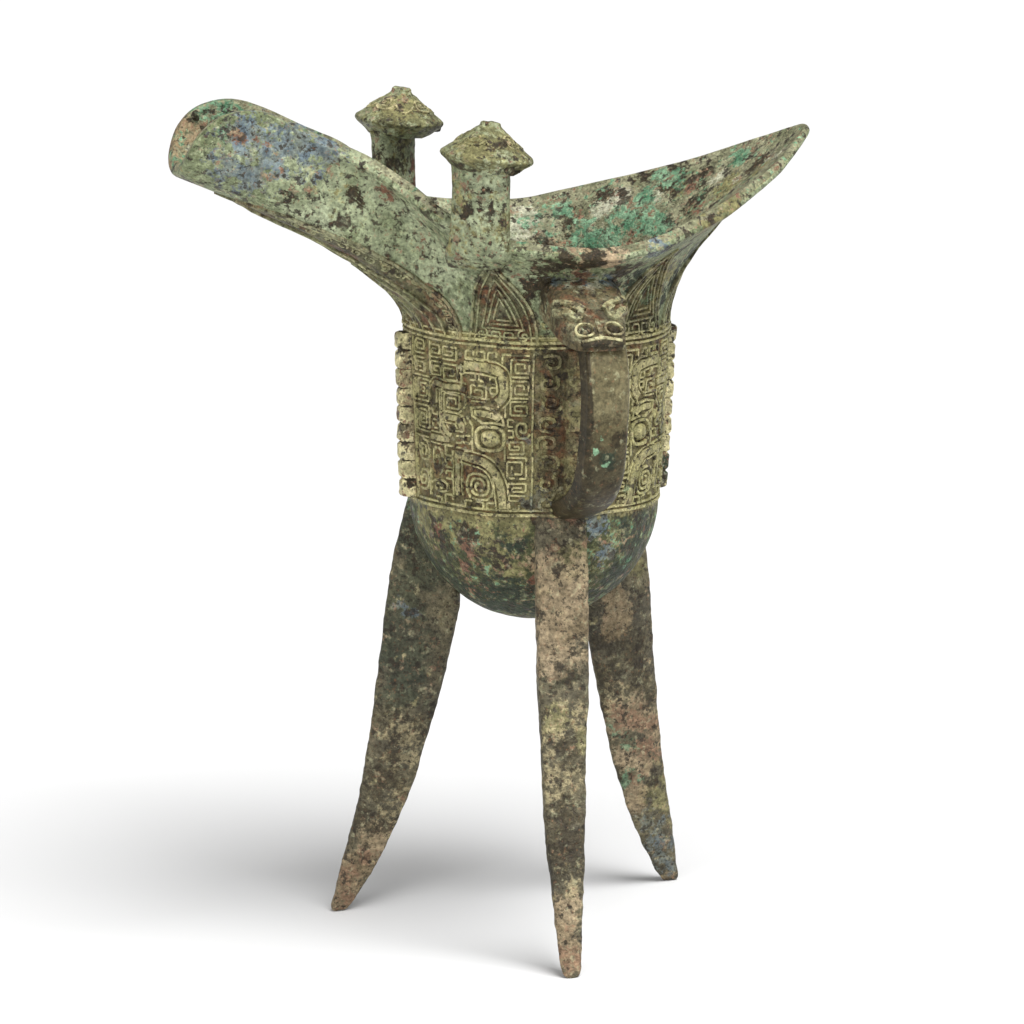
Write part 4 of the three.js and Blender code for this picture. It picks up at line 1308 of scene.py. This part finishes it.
# Kinds of patina, from the ground up: attribute, two tones, how ragged its edge is, how much finer
# grains break it up, and how much of a full mark it takes to show.
FINISHES = [
    ("neck", "#8a9373", "#68714f", 0.7, 0.5, 0.5),
    ("bowl", "#595b3a", "#363e2c", 0.8, 0.6, 0.5),
    ("inside", "#a09e7f", "#696b50", 0.5, 0.5, 0.5),
    ("leg", "#716a52", "#4a463b", 0.5, 0.5, 0.5),
    ("post", "#8b8a60", "#5c5b3e", 0.4, 0.3, 0.5),
    # The flanges' pale crust, lightened further: painted light on their faces
    ("flange", "#eadfae", "#b8b285", 0.4, 0.3, 0.5),
    ("handle", "#575038", "#3a3527", 0.2, 0.1, 0.5),
    ("head", "#857a5c", "#524935", 0.3, 0.3, 0.5),
    # Deep green crust, and also painted shade on the bowl's underside
    ("deep_patina_and_shade", "#444d3c", "#2a3327", 1.3, 1.0, 0.42),
    ("celadon", "#a5ad8d", "#7c8564", 1.0, 1.2, 0.36),
    ("ochre", "#8f8b5f", "#64613f", 1.5, 1.2, 0.44),
    ("chalk", "#c6c3ab", "#959b80", 1.5, 1.6, 0.5),
    ("earth", "#af9b7e", "#887759", 1.5, 1.0, 0.42),
    ("cream", "#aa9e7a", "#7d7357", 1.4, 2.8, 0.58),
    # Umber crust, and also painted shade on the handle's flank and lower end and under the snout
    ("umber", "#403826", "#28251a", 1.9, 1.7, 0.51),
    # A painted highlight on the handle's upper front face
    ("worn", "#6f684d", "#585139", 0.3, 0.3, 0.5),
    ("malachite", "#84a383", "#466f53", 1.6, 2.1, 0.52),
    ("azurite", "#5f707c", "#7f8574", 1.5, 2.5, 0.54),
    ("cuprite", "#6c4837", "#7f6350", 1.7, 2.2, 0.57),
]


# From this row on they are patches; the rows before it are whole regions
PATCHED = 8


def per_mm(size):
    """Noise scale whose grains are about so many millimetres across."""
    return 0.5 / (size * MM)


def channels(tree, place, size, detail):
    """Three unlike noises whose grains are about so many millimetres across."""
    grain = add_node(tree, "ShaderNodeTexNoise", {
        "Vector": place, "Scale": per_mm(size), "Detail": detail, "Roughness": 0.64,
    })
    parted = add_node(tree, "ShaderNodeSeparateColor", {0: grain.outputs["Color"]})
    return list(parted.outputs)


def stretched(tree, value, low, high, to_low=0.0, to_high=1.0):
    """A value spread out between two levels and kept inside them."""
    return add_node(tree, "ShaderNodeMapRange", {
        "Value": value, "From Min": low, "From Max": high, "To Min": to_low, "To Max": to_high,
    }).outputs[0]


def times(tree, a, b):
    return add_node(tree, "ShaderNodeMath", {0: a, 1: b}, operation="MULTIPLY").outputs[0]


def swung(tree, total, grain, amount):
    """A mark pushed up and down by a noise round its middle."""
    swing = add_node(tree, "ShaderNodeMath", {0: grain, 1: amount, 2: total}, operation="MULTIPLY_ADD")
    inputs = {0: swing.outputs[0], 1: -amount / 2}
    return add_node(tree, "ShaderNodeMath", inputs, operation="ADD").outputs[0]


def laid_over(tree, below, above, cover):
    return add_node(tree, "ShaderNodeMix", {0: cover, 6: below, 7: above}, data_type="RGBA").outputs[2]


def marked(tree, name):
    return add_node(tree, "ShaderNodeAttribute", attribute_name=name).outputs["Fac"]


def patinated_bronze():
    """Buried bronze: a matt mineral crust in layers, rubbed to dull metal where it was held."""
    material = bpy.data.materials.new("buried_bronze_patina")
    material.use_nodes = True
    tree = material.node_tree
    shader = tree.nodes["Principled BSDF"]
    where = add_node(tree, "ShaderNodeTexCoord").outputs["Object"]
    broad = channels(tree, where, 8, 5)
    ragged = channels(tree, where, 3.4, 6)
    fine = channels(tree, where, 1.1, 5)
    grit = channels(tree, where, 0.5, 3)
    drift = [stretched(tree, grain, 0.36, 0.64) for grain in broad + ragged]
    colour = laid_over(tree, to_linear("#999564"), to_linear("#bfb783"), drift[3])
    covers = {}
    blended = stretched(tree, marked(tree, "leg"), 0, 1, 1, 0.62)
    for order, (name, light, dark, edge, speckle, level) in enumerate(FINISHES):
        total = swung(tree, marked(tree, name), ragged[order % 3], edge)
        total = swung(tree, total, fine[(order + 1) % 3], speckle)
        total = swung(tree, total, grit[(order + 2) % 3], speckle * 0.5)
        cover = stretched(tree, total, level - 0.09, level + 0.1)
        cover = times(tree, cover, stretched(tree, marked(tree, name), 0, 0.15))
        if order >= PATCHED:
            cover = times(tree, cover, blended)
        covers[name] = cover
        tone = laid_over(tree, to_linear(dark), to_linear(light), drift[(order * 2 + 1) % 6])
        colour = laid_over(tree, colour, tone, cover)

    # Soil and black oxide in the carved ground, and paler tops on the raised lines
    top = marked(tree, "relief")
    ground = add_node(tree, "ShaderNodeMath", {0: 1.0, 1: top}, operation="SUBTRACT", use_clamp=True)
    recess = times(tree, ground.outputs[0], marked(tree, "carved"))
    recess = times(tree, recess, stretched(tree, ragged[1], 0.3, 0.62, 0.98, 0.6))
    soil = laid_over(tree, to_linear("#403929"), to_linear("#645b3e"), drift[4])
    rust = stretched(tree, ragged[2], 0.5, 0.6, 0, 0.8)
    soil = laid_over(tree, soil, to_linear("#744a31"), rust)
    colour = laid_over(tree, colour, soil, recess)
    rubbed = times(tree, stretched(tree, ragged[0], 0.38, 0.6, 0.15, 0.72), top)
    pale = laid_over(tree, to_linear("#a3a172"), to_linear("#cdc194"), drift[2])
    colour = laid_over(tree, colour, pale, rubbed)

    # Dark oxide flecks of three sizes, but few on the worn handle
    worn = covers["handle"]
    inputs = {0: worn, 1: -0.85, 2: 1.0}
    calm = add_node(tree, "ShaderNodeMath", inputs, operation="MULTIPLY_ADD").outputs[0]
    grains = ((ragged[2], 0.6, 0.635, 0.8), (fine[0], 0.575, 0.61, 0.85), (grit[0], 0.59, 0.64, 0.7))
    for grain, low, high, strength in grains:
        fleck = times(tree, stretched(tree, grain, low, high, 0, strength), calm)
        colour = laid_over(tree, colour, to_linear("#352f25"), fleck)
    # Small pale flecks stand in for glints: painted highlights
    colour = laid_over(tree, colour, to_linear("#b2b28e"), stretched(tree, fine[1], 0.58, 0.68, 0, 0.4))
    colour = laid_over(tree, colour, to_linear("#7d5a40"), stretched(tree, grit[1], 0.6, 0.7, 0, 0.45))
    shade = stretched(tree, grit[2], 0.34, 0.66, 0.64, 1.34)
    shade = times(tree, shade, stretched(tree, fine[2], 0.36, 0.64, 0.74, 1.26))
    colour = add_node(tree, "ShaderNodeMix", {0: 1.0, 6: colour, 7: shade}, data_type="RGBA",
                      blend_type="MULTIPLY").outputs[2]
    tree.links.new(colour, shader.inputs["Base Color"])

    # The crust is matt, the worn handle has a dull shine
    rough = stretched(tree, fine[0], 0.3, 0.7, 0.72, 0.36)
    rough = add_node(tree, "ShaderNodeMix", {0: worn, 2: rough, 3: 0.42})
    tree.links.new(rough.outputs[0], shader.inputs["Roughness"])
    tree.links.new(times(tree, worn, 0.2), shader.inputs["Metallic"])
    shader.inputs["Specular IOR Level"].default_value = 0.22

    # Pits and grains of the crust
    height = add_node(tree, "ShaderNodeMath", {0: fine[0], 1: -0.5, 2: ragged[1]}, operation="MULTIPLY_ADD")
    inputs = {0: grit[0], 1: -0.25, 2: height.outputs[0]}
    height = add_node(tree, "ShaderNodeMath", inputs, operation="MULTIPLY_ADD")
    bump = add_node(tree, "ShaderNodeBump", {
        "Height": height.outputs[0], "Strength": times(tree, calm, 1.0), "Distance": 2.0 * MM,
    })
    tree.links.new(bump.outputs[0], shader.inputs["Normal"])
    return material


parts = build_vessel()
vessel, shift = finished(parts)
vessel.data.materials.append(patinated_bronze())
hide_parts("jue_vessel")
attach(vessel, "root")

# The camera that was fitted to the photo
AZIMUTH = -15.684
DISTANCE = 1.2533
CAMERA_HEIGHT = 0.35351
CAMERA_PITCH = 11.17
ROLL = 0.928
FOCAL_PIXELS = 5097.07
SIDE_PIXELS = 21.55
FRAME_PIXELS = 1024
SENSOR = 36


def add_camera():
    """The camera stands where the photo's stood, in the body's own axes, and leans with them."""
    azimuth = math.radians(AZIMUTH)
    place = Vector((math.sin(azimuth) * DISTANCE, -math.cos(azimuth) * DISTANCE, CAMERA_HEIGHT))
    flat = Vector((-math.sin(azimuth), math.cos(azimuth), 0))
    right = Vector((math.cos(azimuth), math.sin(azimuth), 0))
    up = Vector((0, 0, 1))
    pitch = math.radians(CAMERA_PITCH)
    forward = flat * math.cos(pitch) - up * math.sin(pitch)
    upper = flat * math.sin(pitch) + up * math.cos(pitch)
    roll = math.radians(ROLL)
    side = right * math.cos(roll) + upper * math.sin(roll)
    top = upper * math.cos(roll) - right * math.sin(roll)
    axes = Matrix((side, top, -forward)).transposed().to_4x4()
    axes.translation = place
    lean = Matrix.Rotation(math.radians(BODY_LEAN), 4, "Y")
    data = bpy.data.cameras.new("photo_camera")
    data.sensor_width = SENSOR
    data.lens = FOCAL_PIXELS / FRAME_PIXELS * SENSOR
    data.shift_x = -SIDE_PIXELS / FRAME_PIXELS
    camera = bpy.data.objects.new("photo_camera", data)
    camera.matrix_world = Matrix.Translation(shift) @ lean @ axes
    bpy.context.scene.collection.objects.link(camera)
    bpy.context.scene.camera = camera


add_camera()


# The stage: a pale floor, a broad light from above and a soft one from the front
FLOOR_SIZE = 12
FLOOR_TONE = (0.68, 0.68, 0.68, 1)
SURROUND = 0.31
SKY_POWER = 4.3
SKY_SPREAD = 40
SKY_PLACE = (0.3, -0.56, 1.2)
SOFTBOX_POWER = 9
SOFTBOX_SIDE = 0.7
SOFTBOX_PLACE = (-0.8, -1.05, 0.6)
SOFTBOX_TARGET = (0, 0, 0.13)


def add_light(data, place, target):
    """Puts a light at its place and turns it to a point."""
    light = bpy.data.objects.new(data.name, data)
    light.location = place
    light.rotation_euler = (Vector(target) - Vector(place)).to_track_quat("-Z", "Y").to_euler()
    bpy.context.scene.collection.objects.link(light)


def add_stage():
    bpy.ops.object.select_all(action="DESELECT")
    bpy.ops.mesh.primitive_plane_add(size=FLOOR_SIZE)
    floor = bpy.context.object
    floor.name = "pale_floor"
    material = bpy.data.materials.new("white_paper")
    material.use_nodes = True
    shader = material.node_tree.nodes["Principled BSDF"]
    shader.inputs["Base Color"].default_value = FLOOR_TONE
    shader.inputs["Roughness"].default_value = 0.9
    shader.inputs["Specular IOR Level"].default_value = 0.1
    floor.data.materials.append(material)
    world = bpy.data.worlds.new("studio")
    world.use_nodes = True
    background = world.node_tree.nodes["Background"]
    background.inputs["Color"].default_value = (1, 1, 1, 1)
    background.inputs["Strength"].default_value = SURROUND
    bpy.context.scene.world = world
    sky = bpy.data.lights.new("broad_overhead", "SUN")
    sky.energy = SKY_POWER
    sky.angle = math.radians(SKY_SPREAD)
    add_light(sky, SKY_PLACE, (0, 0, 0))
    softbox = bpy.data.lights.new("front_softbox", "AREA")
    softbox.size = SOFTBOX_SIDE
    softbox.energy = SOFTBOX_POWER
    add_light(softbox, SOFTBOX_PLACE, SOFTBOX_TARGET)


add_stage()
bpy.context.scene.view_settings.view_transform = "Standard"
